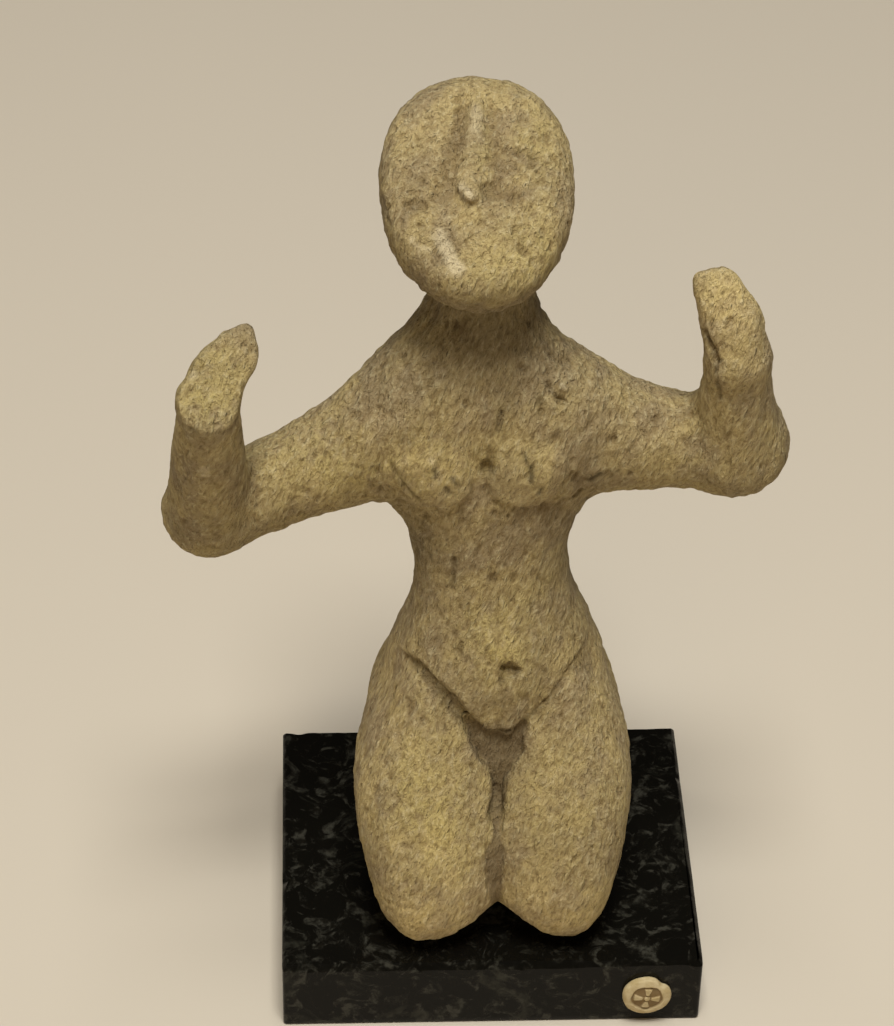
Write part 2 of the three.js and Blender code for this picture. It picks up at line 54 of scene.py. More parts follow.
TRUNK_SIDE = [(55, -20, -18, 14, 2.2), (70, -21.7, -18.6, 15.8, 2.2), (80, -22.9, -20, 15.2, 2.2), (90, -22.8, -20.4, 12.8, 2.2), (100, -20.6, -19.4, 10.2, 2.2), (108, -18.1, -17.7, 8.6, 2.2), (116, -16.2, -16.2, 7.9, 2.2), (124, -15.7, -15.7, 8.1, 2.2), (133, -15.6, -15.6, 8.8, 2.3), (147, -15.2, -15.2, 9.3, 2.4), (160, -13.2, -13.2, 9.2, 2.3), (174, -11.3, -11.3, 9.6, 2.1), (190, -10, -10, 11, 2), (204, -8, -8, 12, 2)]  # height, belly front Y, core front Y, back Y, squareness
NARROWING = [(55, 0.8), (70, 0.88), (80, 0.96), (88, 1), (96, 1), (204, 1)]
ARM_L = dict(s=(-17.33, -3, 159.75), rs=13.61, m=(-38, -4, 144.28), rm=11.27, e=(-64.43, -7, 132.5), re=9.89, w=(-63.23, -25.5, 177.02), rw=6.43,
             p=(-57.48, -19, 184.85), rp=4.58, t=(-55.23, -16.5, 188.58), rt0=4.6, rt=2.2, q=(-61.53, -21.5, 182.09), rq=5.23,
             kt=2.5, kq=2.5, kw=1.5, flat=(-62, -30.3, 175.2), face=(8, 37), kf=0.9)
ARM_R = dict(s=(14.24, -3, 157.69), rs=12.99, m=(30.02, -4, 150.18), rm=11.67, e=(51.69, -6, 148.96), re=10.85, w=(49.64, -13, 178.75), rw=5.95,
             p=(44.45, -12.5, 195.02), rp=5.39, t=(36.9, -11, 200.3), rt0=4.2, rt=0.9, q=(48.58, -13.5, 188.21), rq=5.28,
             kt=2.0, kq=4.0, kw=5.0, flat=(47.5, -19, 186), face=(-14, 24), kf=4.0)
HEAD = dict(at=(-6.29, 0, 212.32), up=48, roll=2.08, a=20.35, b=24.63, taper=0.07, n=2.16, t=8.2, edge=5, bow=110)
HEAD_BACK = (18.5, 22, 9.5)
NOSE = ((0.4, 16.5, 6.2), (-1.7, -1.4, 7.1), 0.9, 2.6)
# lower edge of the belly: X, Z
FOLD = [(-34, 90), (-26, 91.8), (-20.6, 93.4), (-16.4, 94.1), (-13.1, 91.8), (-9.6, 88.2), (-6.8, 83.9), (-4, 80.2), (-2, 78.6), (0, 78.1), (2.2, 78.4), (4.3, 79.8),
        (7.6, 83.0), (10.7, 85.9), (13.2, 88.5), (15.5, 91.4), (18, 94.2), (22, 97), (30, 99)]
GROOVE_X = 0.7
BREASTS = ((-13.4, -12, 149), (7.5, -12, 149))
BREAST_R = (9, 4.2, 8.6)


def smin(a, b, k):
    h = np.maximum(k - np.abs(a - b), 0) / k
    return np.minimum(a, b) - h * h * k * 0.25


def smax(a, b, k):
    return -smin(-a, -b, k)


def step(a, b, t):
    t = np.clip((t - a) / (b - a), 0, 1)
    return t * t * (3 - 2 * t)


def length(*v):
    return np.sqrt(sum(c * c for c in v))


def ball(x, y, z, c, r):
    return length(x - c[0], y - c[1], z - c[2]) - r


def egg(x, y, z, r):
    k0 = length(x / r[0], y / r[1], z / r[2])
    k1 = length(x / r[0] ** 2, y / r[1] ** 2, z / r[2] ** 2)
    return k0 * (k0 - 1) / np.maximum(k1, 1e-9)


def rod(x, y, z, a, b, r1, r2):
    bx, by, bz = b[0] - a[0], b[1] - a[1], b[2] - a[2]
    l2 = bx * bx + by * by + bz * bz
    rr = r1 - r2
    a2, il2 = l2 - rr * rr, 1 / l2
    px, py, pz = x - a[0], y - a[1], z - a[2]
    u = px * bx + py * by + pz * bz
    w = u - l2
    x2 = (px * l2 - bx * u) ** 2 + (py * l2 - by * u) ** 2 + (pz * l2 - bz * u) ** 2
    u2, w2 = u * u * l2, w * w * l2
    k = np.sign(rr) * rr * rr * x2
    d3 = (np.sqrt(x2 * a2 * il2) + u * rr) * il2 - r1
    d1 = np.sqrt(x2 + w2) * il2 - r2
    d2 = np.sqrt(x2 + u2) * il2 - r1
    return np.where(np.sign(w) * a2 * w2 > k, d1, np.where(np.sign(u) * a2 * u2 < k, d2, d3))


def column(x, y, w, b, n, end=None, end_h=1.0, m=2.9):
    ax, ay = np.abs(x) / w, np.abs(y) / b
    f = np.maximum(ax ** n + ay ** n, 1e-12) ** (1 / n)
    gx, gy = (ax / f) ** (n - 1) / w, (ay / f) ** (n - 1) / b
    low = -np.minimum(w, b)
    if end is None:
        return np.maximum((f - 1) / length(gx, gy), low)
    e = np.maximum(end, 0) / end_h
    k = (f ** m + e ** m) ** (1 / m)
    g = np.sqrt((f / k) ** (2 * m - 2) * (gx * gx + gy * gy) + ((e / k) ** (m - 1) / end_h) ** 2)
    return np.maximum((k - 1) / g, low)


def curve(t, rows):
    rows = np.asarray(rows, float)
    X = rows[:, 0]
    t = np.clip(t, X[0], X[-1])
    i = np.clip(np.searchsorted(X, t, side="right") - 1, 0, len(X) - 2)
    h = X[1:] - X[:-1]
    s = (t - X[i]) / h[i]
    s2, s3 = s * s, s * s * s
    out = []
    for c in range(1, rows.shape[1]):
        Y = rows[:, c]
        m = np.zeros(len(X))
        m[1:-1] = (Y[2:] - Y[:-2]) / (X[2:] - X[:-2])
        m[0], m[-1] = (Y[1] - Y[0]) / h[0], (Y[-1] - Y[-2]) / h[-1]
        out.append((2 * s3 - 3 * s2 + 1) * Y[i] + (s3 - 2 * s2 + s) * m[i] * h[i]
                   + (-2 * s3 + 3 * s2) * Y[i + 1] + (s3 - s2) * m[i + 1] * h[i])
    return out


def facing(az, el):
    a, e = math.radians(az), math.radians(el)
    return (math.sin(a) * math.cos(e), -math.cos(a) * math.cos(e), math.sin(e))


def plane(x, y, z, at, n):
    return (x - at[0]) * n[0] + (y - at[1]) * n[1] + (z - at[2]) * n[2]


# --- noise -----------------------------------------------------------------
def _hash(ix, iy, iz, seed):
    with np.errstate(over="ignore"):
        h = (ix.astype(np.int64) * 73856093) ^ (iy.astype(np.int64) * 19349663) ^ (iz.astype(np.int64) * 83492791) ^ np.int64(seed * 2654435)
        h = (h ^ (h >> 13)) * np.int64(1274126177)
        h = (h ^ (h >> 16)) * np.int64(668265263)
        h = h ^ (h >> 15)
    return (h & 0xFFFFFF).astype(np.float64) / float(0xFFFFFF)


def noise(x, y, z, seed=1):
    """value noise, -1..1"""
    fx, fy, fz = np.floor(x), np.floor(y), np.floor(z)
    u, v, w = x - fx, y - fy, z - fz
    u, v, w = (t * t * t * (t * (t * 6 - 15) + 10) for t in (u, v, w))
    out = 0
    for i in (0, 1):
        for j in (0, 1):
            for k in (0, 1):
                out = out + (u if i else 1 - u) * (v if j else 1 - v) * (w if k else 1 - w) * _hash(fx + i, fy + j, fz + k, seed)
    return out * 2 - 1


def fbm(x, y, z, seed=1, octaves=3):
    a, s, tot = 1.0, 0, 0
    for o in range(octaves):
        s = s + a * noise(x * 2 ** o + 17.3 * o, y * 2 ** o - 5.1 * o, z * 2 ** o + 9.7 * o, seed + o)
        tot += a
        a *= 0.5
    return s / tot


def pits(x, y, z, seed, share, r_lo, r_hi):
    """0..1 wells around scattered points of a unit lattice"""
    fx, fy, fz = np.floor(x), np.floor(y), np.floor(z)
    best = np.zeros_like(x)
    for i in (-1, 0, 1):
        for j in (-1, 0, 1):
            for k in (-1, 0, 1):
                cx, cy, cz = fx + i, fy + j, fz + k
                has = _hash(cx, cy, cz, seed) < share
                r = r_lo + (r_hi - r_lo) * _hash(cx, cy, cz, seed + 4)
                d = length(x - cx - _hash(cx, cy, cz, seed + 1), y - cy - _hash(cx, cy, cz, seed + 2), z - cz - _hash(cx, cy, cz, seed + 3))
                best = np.maximum(best, np.where(has, 1 - step(0.25 * r, r, d), 0))
    return best


GRAIN = Vector((0.30, -0.12, 0.95)).normalized()  # run of the fine tool and weather marks
_a = GRAIN.cross(Vector((0, 1, 0))).normalized()
_b = GRAIN.cross(_a).normalized()


def grain(x, y, z):
    return (x * _a[0] + y * _a[1] + z * _a[2], x * _b[0] + y * _b[1] + z * _b[2], x * GRAIN[0] + y * GRAIN[1] + z * GRAIN[2])


def stroke(x, y, z, pts, w):
    """1 on a polyline, falling away over w"""
    best = np.full_like(x, 1e9)
    for a, b in zip(pts[:-1], pts[1:]):
        bx, by, bz = b[0] - a[0], b[1] - a[1], b[2] - a[2]
        t = np.clip(((x - a[0]) * bx + (y - a[1]) * by + (z - a[2]) * bz) / (bx * bx + by * by + bz * bz), 0, 1)
        best = np.minimum(best, length(x - a[0] - t * bx, y - a[1] - t * by, z - a[2] - t * bz))
    return np.exp(-((best / w) ** 2))


def blob(x, y, z, c, r):
    if not hasattr(r, "__len__"):
        r = (r, r, r)
    return np.exp(-(((x - c[0]) / r[0]) ** 2 + ((y - c[1]) / r[1]) ** 2 + ((z - c[2]) / r[2]) ** 2))


# --- body parts ------------------------------------------------------------
# the sunk flat between the thighs, wide under the belly and closing to a slit: height, middle X, half width, floor Y
STRIP = [(34, 0.5, 1.0, -33.2), (38, 0.3, 1.4, -33.4), (44, 0.0, 1.7, -33.4), (51, -0.1, 1.7, -32.2), (55, 0.3, 0.5, -30.4), (58, 0.2, 1.4, -26.8), (60.4, 0.1, 1.9, -25.0), (63, 0.6, 1.7, -24.4),
         (66, 1.0, 1.8, -24.0), (69.5, 1.2, 2.5, -23.6), (71.5, 0.9, 4.2, -23.1), (74, 0.6, 5.5, -22.4), (77, 0.1, 6.3, -21.8), (82, 0.0, 6.8, -20.8), (86, 0.0, 6.8, -20.2)]
ARCH = [(0, 31.2), (2.5, 30.6), (5.5, 28.8), (8.4, 26.6), (11.5, 23.6), (14, 20.4), (17, 15)]  # hollow under the inner sides of the knees: distance from the groove, height


def thighs(x, y, z):
    left, right = curve(z, CONTOUR)
    front, back, centre, overlap = curve(z, THIGH_SIDE)
    tuck = curve(z, THIGH_TUCK)[0]
    half_d, cy = (back - front) / 2, (back + front) / 2
    d = None
    for s, edge, (kx, kb) in ((-1, -left, KNEE_L), (1, right, KNEE_R)):
        cx = centre + (kx - 15.5)
        q = x * s - cx
        half = np.where(q > 0, np.maximum(edge - tuck - cx, 2), cx - s * GROOVE_X + overlap)
        lobe = smax(column(q, y - cy, half, half_d, 2.3, FOOT_Z + kb - z, kb), z - 100, 10)
        d = lobe if d is None else smin(d, lobe, 1.6)
    mid, wide, floor_y = curve(z, STRIP)
    wide = wide + step(50, 58, z) * (0.45 * noise(z * 0.35, x * 0 + np.sign(x), z * 0 + 3, 31) + 0.3 * noise(z * 0.9, x * 0 + np.sign(x), z * 0 + 7, 32))
    side = np.abs(x - mid) - wide
    fill = np.maximum(np.maximum(side - 1.5, floor_y + 0.1 - y), np.maximum(y - floor_y - 8, np.maximum(z - 83, 54 - z)))
    d = smin(d, fill, 1.0)
    cut = np.maximum(np.maximum(side, y - floor_y), np.maximum(54.5 - z, z - 90))
    d = smax(d, -cut, np.where(x < mid, 0.6, 1.6))
    return smax(d, curve(np.abs(x - 0.9), ARCH)[0] - 0.8 * np.maximum(y + 33, 0) - z, 3.0)


def shins(x, y, z):
    d = None
    for s in (-1, 1):
        leg = rod(x, y, z, (s * 14.6, -14, FOOT_Z + 11.8), (s * 11.6, 25, FOOT_Z + 8.2), 12.4, 8.8)
        foot = egg(x - s * 10.8, y - 30.5, z - FOOT_Z - 5.8, (7.8, 8.5, 6.4))
        both = smin(leg, foot, 5)
        d = both if d is None else smin(d, both, 2.5)
    return d


def trunk(x, y, z):
    left, right = curve(z, CONTOUR)
    belly, core, back, n = curve(z, TRUNK_SIDE)
    cx, half = (left + right) / 2, (right - left) / 2 * curve(z, NARROWING)[0]
    inner = smax(column(x - cx, y - (core + back) / 2, half, (back - core) / 2, n), 64 - z, 8)
    outer = column(x - cx, y - (belly + back) / 2, half, (back - belly) / 2, n)
    line = curve(x, FOLD)[0]
    rise = (curve(x + 0.5, FOLD)[0] - curve(x - 0.5, FOLD)[0])
    line = line + 0.45 * noise(x * 0.28, x * 0 + 1, x * 0, 41) + 0.3 * noise(x * 0.8, x * 0 + 4, x * 0, 42)
    below = (line - z) / np.sqrt(1 + rise * rise)
    return smax(smin(inner, smax(outer, below, 0.8), 0.6), z - 206, 4)


ARM_Y, ARM_FLAT = -4.0, 1.25


def upper_arm(x, y, z, a):
    f = lambda p: (p[0], ARM_Y + (p[1] - ARM_Y) * ARM_FLAT, p[2])
    yy = ARM_Y + (y - ARM_Y) * ARM_FLAT
    return smin(rod(x, yy, z, f(a["s"]), f(a["m"]), a["rs"], a["rm"]), rod(x, yy, z, f(a["m"]), f(a["e"]), a["rm"], a["re"] * 1.03), 4) * 0.93


def forearm(x, y, z, a):
    hand = smin(rod(x, y, z, a["w"], a["p"], a["rw"], a["rp"]), rod(x, y, z, a["p"], a["t"], a["rt0"], a["rt"]), a["kt"])
    hand = smin(hand, ball(x, y, z, a["q"], a["rq"]), a["kq"])
    d = smin(rod(x, y, z, a["e"], a["w"], a["re"], a["rw"]), hand, a["kw"])
    return smax(d, plane(x, y, z, a["flat"], facing(*a["face"])), a["kf"])


def head_axes():
    e, r = math.radians(HEAD["up"]), math.radians(HEAD["roll"])
    u, v, n = Vector((1, 0, 0)), Vector((0, math.sin(e), math.cos(e))), Vector((0, -math.cos(e), math.sin(e)))
    return (u * math.cos(r) + v * math.sin(r), -u * math.sin(r) + v * math.cos(r), n)


HEAD_AXES = head_axes()


def to_head(x, y, z):
    return tuple(plane(x, y, z, HEAD["at"], a) for a in HEAD_AXES)


def head(x, y, z):
    u, v, n = to_head(x, y, z)
    e = HEAD["edge"]
    out = column(u, v, HEAD["a"] * (1 + HEAD["taper"] * v / HEAD["b"]), HEAD["b"], HEAD["n"]) + e
    bow = n + (u * u + v * v) / (2 * HEAD["bow"])
    thick = np.where(bow > 0, bow, -n) - (HEAD["t"] - e)
    d = np.minimum(np.maximum(out, thick), 0) + length(np.maximum(out, 0), np.maximum(thick, 0)) - e
    d = smin(d, egg(u, v + 1, n + 4, HEAD_BACK), 3)
    return smin(d, rod(u, v, n, *NOSE), 1.4)


def figure(x, y, z):
    d = smin(thighs(x, y, z), shins(x, y, z), 6)
    d = smin(d, trunk(x, y, z), 1.2)
    for s in (-1, 1):
        d = smin(d, ball(x, y, z, (s * 11.3, 5.5, 70), 15), 7)
    for a in (ARM_L, ARM_R):
        d = smin(d, upper_arm(x, y, z, a), 13)
    d = smin(d, forearm(x, y, z, ARM_L), 2.5)
    d = smin(d, forearm(x, y, z, ARM_R), 4)
    for c in BREASTS:
        d = smin(d, egg(x - c[0], y - c[1], z - c[2], BREAST_R), 3)
    d = smin(d, head(x, y, z), 2.2)
    return smax(d, REST_Z - z, 0.5)


# --- marks that sit in one place: polyline, half width, depth ---------------
HOLES = [
    ([(1.5, -21.4, 96.9), (1.1, -22.1, 93.6)], 0.50, 1.6), ([(2.8, -21.1, 97.6), (2.5, -21.8, 94.9)], 0.50, 1.5), ([(4.2, -21.2, 96.8), (3.7, -21.7, 95.2)], 0.45, 1.3), ([(1.3, -21.5, 96.2), (4.8, -21.3, 96.2)], 0.45, 1.3),
    ([(-8.2, -18.8, 102.8), (-9.1, -19.3, 100.3)], 0.38, 0.9),
    ([(-3.5, -15.8, 150.9), (-3.4, -15.9, 150.0)], 0.85, 2.0),
    ([(-0.5, -14.0, 164.9), (-1.1, -14.8, 160.6)], 0.40, 0.8),
    ([(-3.2, -15.4, 155.2), (-2.7, -15.6, 152.7)], 0.40, 0.7),
    ([(6.0, -17.2, 152.4), (6.3, -17.4, 148.1)], 0.42, 1.1),
    ([(8.3, -17.2, 146.8), (7.8, -16.8, 144.3)], 0.40, 0.9),
    ([(4.4, -16.5, 155.0), (5.3, -16.9, 153.2)], 0.40, 0.7),
    ([(-15.1, -17.3, 152.2), (-14.9, -17.5, 150.2)], 0.42, 0.8),
    ([(-11.0, -17.4, 149.7), (-10.3, -17.3, 147.7)], 0.42, 0.8),
    ([(-12.4, -17.3, 146.9), (-11.8, -17.1, 145.1)], 0.42, 0.7),
    ([(16.3, -12.6, 139.9), (17.5, -12.7, 141.6)], 0.45, 0.8),
    ([(19.3, -13.6, 145.4), (21.4, -13.8, 147.6)], 0.40, 0.6),
    ([(42.0, -14.9, 186.4), (43.3, -16.5, 183.5), (44.2, -17.6, 181.0)], 0.60, 1.2),
    ([(-24.2, -16.6, 152.6), (-22.6, -16.6, 149.6)], 0.45, 0.9),
    ([(-8.2, -22.2, 85.6), (-6.2, -22.7, 82.2), (-4.2, -22.8, 79.6), (-2.6, -22.8, 78.0)], 0.50, 1.0),
    ([(-2.2, -22.9, 79.0), (0.4, -23.0, 78.6), (2.8, -22.8, 79.2)], 0.32, 0.8),
]
CREASES = [
    ([(-10.0, -14.9, 124.4), (-10.4, -14.7, 119.7), (-10.5, -14.8, 116.0)], 0.50, 0.50),
    ([(-24.0, -15.3, 151.9), (-22.9, -15.6, 149.3), (-21.6, -15.8, 146.9), (-19.6, -15.9, 144.4), (-17.1, -15.4, 141.3), (-14.3, -15.6, 140.4)], 0.60, 0.70),
    ([(-20.2, -14.1, 93.4), (-17.5, -17.1, 93.0), (-14.6, -20.0, 91.4), (-11.7, -21.5, 88.5), (-8.9, -22.6, 84.8), (-6.1, -23.2, 80.6)], 1.45, 0.95),
    ([(-16.4, -17.2, 93.9), (-13.0, -20.0, 91.7), (-9.6, -21.5, 88.7), (-6.8, -22.3, 84.2), (-4.0, -22.3, 80.0)], 0.45, 0.60),
    ([(18.6, -16.3, 95.2), (16.9, -18.3, 93.8), (15.5, -19.7, 92.5), (13.2, -21.2, 89.3), (10.8, -22.1, 86.5)], 0.50, 1.00),
    ([(10.8, -22.1, 86.5), (7.6, -22.3, 83.3), (4.4, -21.8, 79.9)], 0.70, 0.55),
    ([(9.3, -11.2, 170.5), (10.4, -11.9, 168.9), (11.3, -12.6, 167.5), (13.3, -12.8, 166.5)], 0.55, 0.80),
    ([(7.2, -13.0, 168.6), (7.8, -13.3, 166.6)], 0.80, 0.50),
    ([(44.2, -17.4, 181.0), (45.3, -17.6, 176.0), (45.8, -17.2, 171.0)], 0.65, 0.60),
    ([(-66.9, -30.5, 174.2), (-62.0, -29.2, 173.2), (-56.9, -26.6, 173.6)], 0.70, 0.50),
    ([(-1.9, -33.4, 52.4), (-1.8, -34.6, 46.0), (-1.5, -35.0, 40.0)], 0.40, 0.70),
    ([(1.7, -32.6, 51.4), (1.8, -33.8, 44.0)], 0.35, 0.35),
    ([(-11.0, -6.6, 219.0), (-10.6, -8.2, 217.4), (-9.0, -9.6, 216.0), (-7.0, -9.9, 215.6)], 0.50, 0.80),
    ([(-25.9, -3.0, 213.0), (-24.6, -8.6, 210.0)], 0.7, 0.35),
    ([(-26.9, -6.0, 118.0), (-19.6, -12.2, 112.0)], 1.2, 0.30),
]
BUMPS = [
    ([(-2.4, -23.2, 80.2), (0.4, -23.4, 79.9), (3.2, -23.0, 80.6)], 0.60, 0.45),
    ([(-0.8, -22.6, 77.4), (1.6, -22.8, 77.6), (3.6, -22.4, 78.6)], 0.60, 0.70),
    ([(12.0, -11.0, 170.4), (12.8, -11.3, 168.8)], 0.80, 0.60),
    ([(10.3, -13.6, 165.6), (10.9, -13.9, 164.6)], 0.70, 0.60),
    ([(20.1, -5.9, 169.6), (20.7, -6.1, 168.9)], 0.60, 0.45),
    ([(-15.8, -17.2, 154.8), (-15.5, -17.4, 153.6)], 0.55, 0.45),
    ([(-13.0, -20.2, 93.3), (-9.0, -21.8, 90.4), (-6.2, -22.7, 86.0)], 0.9, 0.35),
    ([(-10.4, -7.0, 218.6), (-9.1, -8.1, 218.0), (-7.9, -8.8, 217.2)], 0.9, 0.45),
    ([(-4.0, -26.6, 70.6), (-3.4, -27.2, 69.0)], 0.9, 0.5),
]
DENTS = [  # centre, radius, depth
    ((-4.2, -6.9, 217.4), 1.9, 0.9), ((-13.6, -14.8, 208.6), 3.0, 0.30), ((36.9, -11.5, 200.8), 1.6, 0.3),
    ((-66.6, -24.0, 184.5), 1.7, 0.4), ((52.8, -14.5, 190.0), 1.8, 0.35), ((-55.0, -16.9, 191.0), 1.4, 0.3),
    ((-17.9, -4.7, 218.3), 1.0, 0.45), ((-17.8, -8.4, 214.8), 0.9, 0.5), ((-19.6, -8.1, 214.9), 1.0, 0.45),
    ((2.1, -0.2, 222.5), 0.9, 0.45), ((5.0, -0.3, 222.1), 1.0, 0.5), ((8.1, 3.0, 224.1), 0.9, 0.5), ((5.0, -1.6, 221.0), 1.0, 0.45),
    ((6.8, -12.3, 210.5), 0.9, 0.5), ((7.2, -14.0, 208.2), 0.8, 0.45), ((1.3, -7.6, 216.1), 1.1, 0.45), ((3.0, -15.5, 207.5), 0.8, 0.4),
]
WORN = [  # rubbed pale places: polyline, half width, strength
    ([(-14.6, -13.0, 210.5), (-13.9, -14.0, 209.5), (-13.2, -14.8, 208.6)], 1.3, 0.75), ([(-12.8, -15.6, 207.8), (-11.9, -16.8, 206.4), (-11.0, -17.8, 205.0)], 1.25, 0.85),
    ([(-20.4, -12.9, 209.6), (-18.7, -14.3, 208.3), (-17.0, -14.8, 208.2)], 0.5, 0.45), ([(-9.8, -7.2, 218.4), (-9.0, -8.2, 218.0), (-8.0, -8.9, 217.2)], 0.75, 1.1),
    ([(-6.6, 6.6, 228.6), (-7.0, 3.0, 226.0)], 1.1, 0.45), ([(12.3, -11.1, 170.0), (12.8, -11.3, 169.0)], 0.5, 0.6), ([(10.5, -13.8, 165.2), (10.8, -13.9, 164.8)], 0.5, 0.6),
    ([(-15.7, -17.3, 154.4), (-15.5, -17.4, 153.9)], 0.45, 0.7), ([(36.6, -11.2, 200.9), (39.0, -11.8, 199.5)], 1.4, 0.35), ([(-64.3, -26.2, 160.0), (-64.3, -26.2, 158.0)], 1.0, 0.55),
    ([(-66.8, -24.0, 187.0), (-66.0, -24.0, 183.0)], 0.9, 0.4), ([(20.3, -5.9, 169.4), (20.6, -6.1, 168.9)], 0.5, 0.5),
]


def nose(x, y, z):
    """sharpens the sides of the nose ridge and sinks the face a little beside it"""
    u, v, n = to_head(x, y, z)
    t = np.clip((17.5 - v) / 20.5, 0, 1)
    side = np.abs(u - 0.6 + 2.2 * t) / (1.5 + 2.3 * t)
    on = (1 - step(16.5, 19.0, v)) * step(-5.0, -3.0, v) * step(3.5, 5.5, n)
    return on * ((0.75 - 0.1 * t) * (1 - step(0.5, 1.15, side)) - (0.42 + 0.25 * (u < 0)) * np.exp(-(((side - 1.75) / 0.6) ** 2)))


def breasts(x, y, z):
    """two roughly cut slanting flats, proud at their lower edges"""
    h = 0
    for cx, cz, rx, rz, turn in ((-15.2, 149.6, 8.6, 9.6, 0.30), (5.2, 149.6, 8.0, 10.0, -0.25)):
        c, s_ = math.cos(turn), math.sin(turn)
        u, v = (x - cx) * c + (z - cz) * s_, -(x - cx) * s_ + (z - cz) * c
        u, v = u + 1.0 * fbm(x / 4.0, y / 4.0, z / 4.0, 51, 2), v + 1.0 * fbm(x / 4.0, y / 4.0, z / 4.0, 55, 2)
        f = ((np.abs(u) / rx) ** 2.6 + (np.abs(v) / rz) ** 2.6) ** (1 / 2.6)
        h = h + (1 - step(0.90, 1.02, f)) * (0.35 + 1.15 * np.clip((rz - v) / (2 * rz), 0, 1)) * (1 - step(0.35, 0.95, v / rz))
    return h * (1 - step(-10, -7, y))


def marks(x, y, z):
    """height of the placed marks, and the painted shade in their bottoms"""
    h, recess_shade = nose(x, y, z) + breasts(x, y, z), np.zeros_like(x)
    wx = x + 0.30 * noise(x * 0.9, y * 0.9, z * 0.9, 61)
    wz = z + 0.30 * noise(x * 0.9, y * 0.9, z * 0.9, 62)
    for line, w, deep in HOLES:
        s = stroke(wx, y, wz, line, w * 1.25)
        h -= deep * s
        recess_shade = np.maximum(recess_shade, min(1.0, 0.45 + 0.35 * deep) * s ** 0.8)
    for line, w, deep in CREASES:
        s = stroke(wx, y, wz, line, w)
        h -= deep * s
        recess_shade = np.maximum(recess_shade, 0.45 * s)
    for line, w, high in BUMPS:
        h += high * stroke(wx, y, wz, line, w)
    for c, r, deep in DENTS:
        s = step(0, 0.6, blob(wx, y, wz, c, r))
        h -= deep * s
        recess_shade = np.maximum(recess_shade, 0.12 * s)
    return h, recess_shade


def coarse(x, y, z):
    """where the surface is rougher: chest and face more than thighs"""
    t = 1.0 + 0.65 * step(112, 145, z) * (1 - step(26, 42, np.abs(x))) + 0.15 * step(30, 45, np.abs(x)) - 0.35 * step(196, 204, z)
    return t - 0.1 * blob(x, y, z, (0, -20, 178), (20, 14, 12))


def relief(x, y, z):
    g0, g1, g2 = grain(x, y, z)
    k = coarse(x, y, z)
    h = 0.30 * fbm(x / 15, y / 15, z / 15, 11, 2)
    h += 0.24 * k * fbm(g0 / 3.4, g1 / 3.4, g2 / 6.0, 15, 2)
    h += 0.26 * k * fbm(g0 / 1.7, g1 / 1.7, g2 / 3.8, 19, 2)
    q0, q1 = g0 + 0.5 * noise(g0 / 2, g1 / 2, g2 / 3, 66), g1 + 0.5 * noise(g0 / 2, g1 / 2, g2 / 3, 67)
    big = pits(q0 / 2.7, q1 / 2.7, g2 / 5.6, 71, 0.30, 0.20, 0.42)
    fine = pits(q0 / 1.6, q1 / 1.6, g2 / 3.2, 81, 0.40, 0.25, 0.52)
    h -= 0.48 * k * big + 0.20 * k * fine
    mh, recess_shade = marks(x, y, z)
    # returns the height, the painted shade for the pits and the painted shade for the bottoms of the placed marks
    return h + mh, np.clip(0.8 * big + 0.55 * fine, 0, 1), recess_shade


# --- surface ---------------------------------------------------------------
def in_parts(f, x, y, z, size=260000):
    out = np.empty(len(x))
    for i in range(0, len(x), size):
        out[i:i + size] = f(x[i:i + size], y[i:i + size], z[i:i + size])
    return out


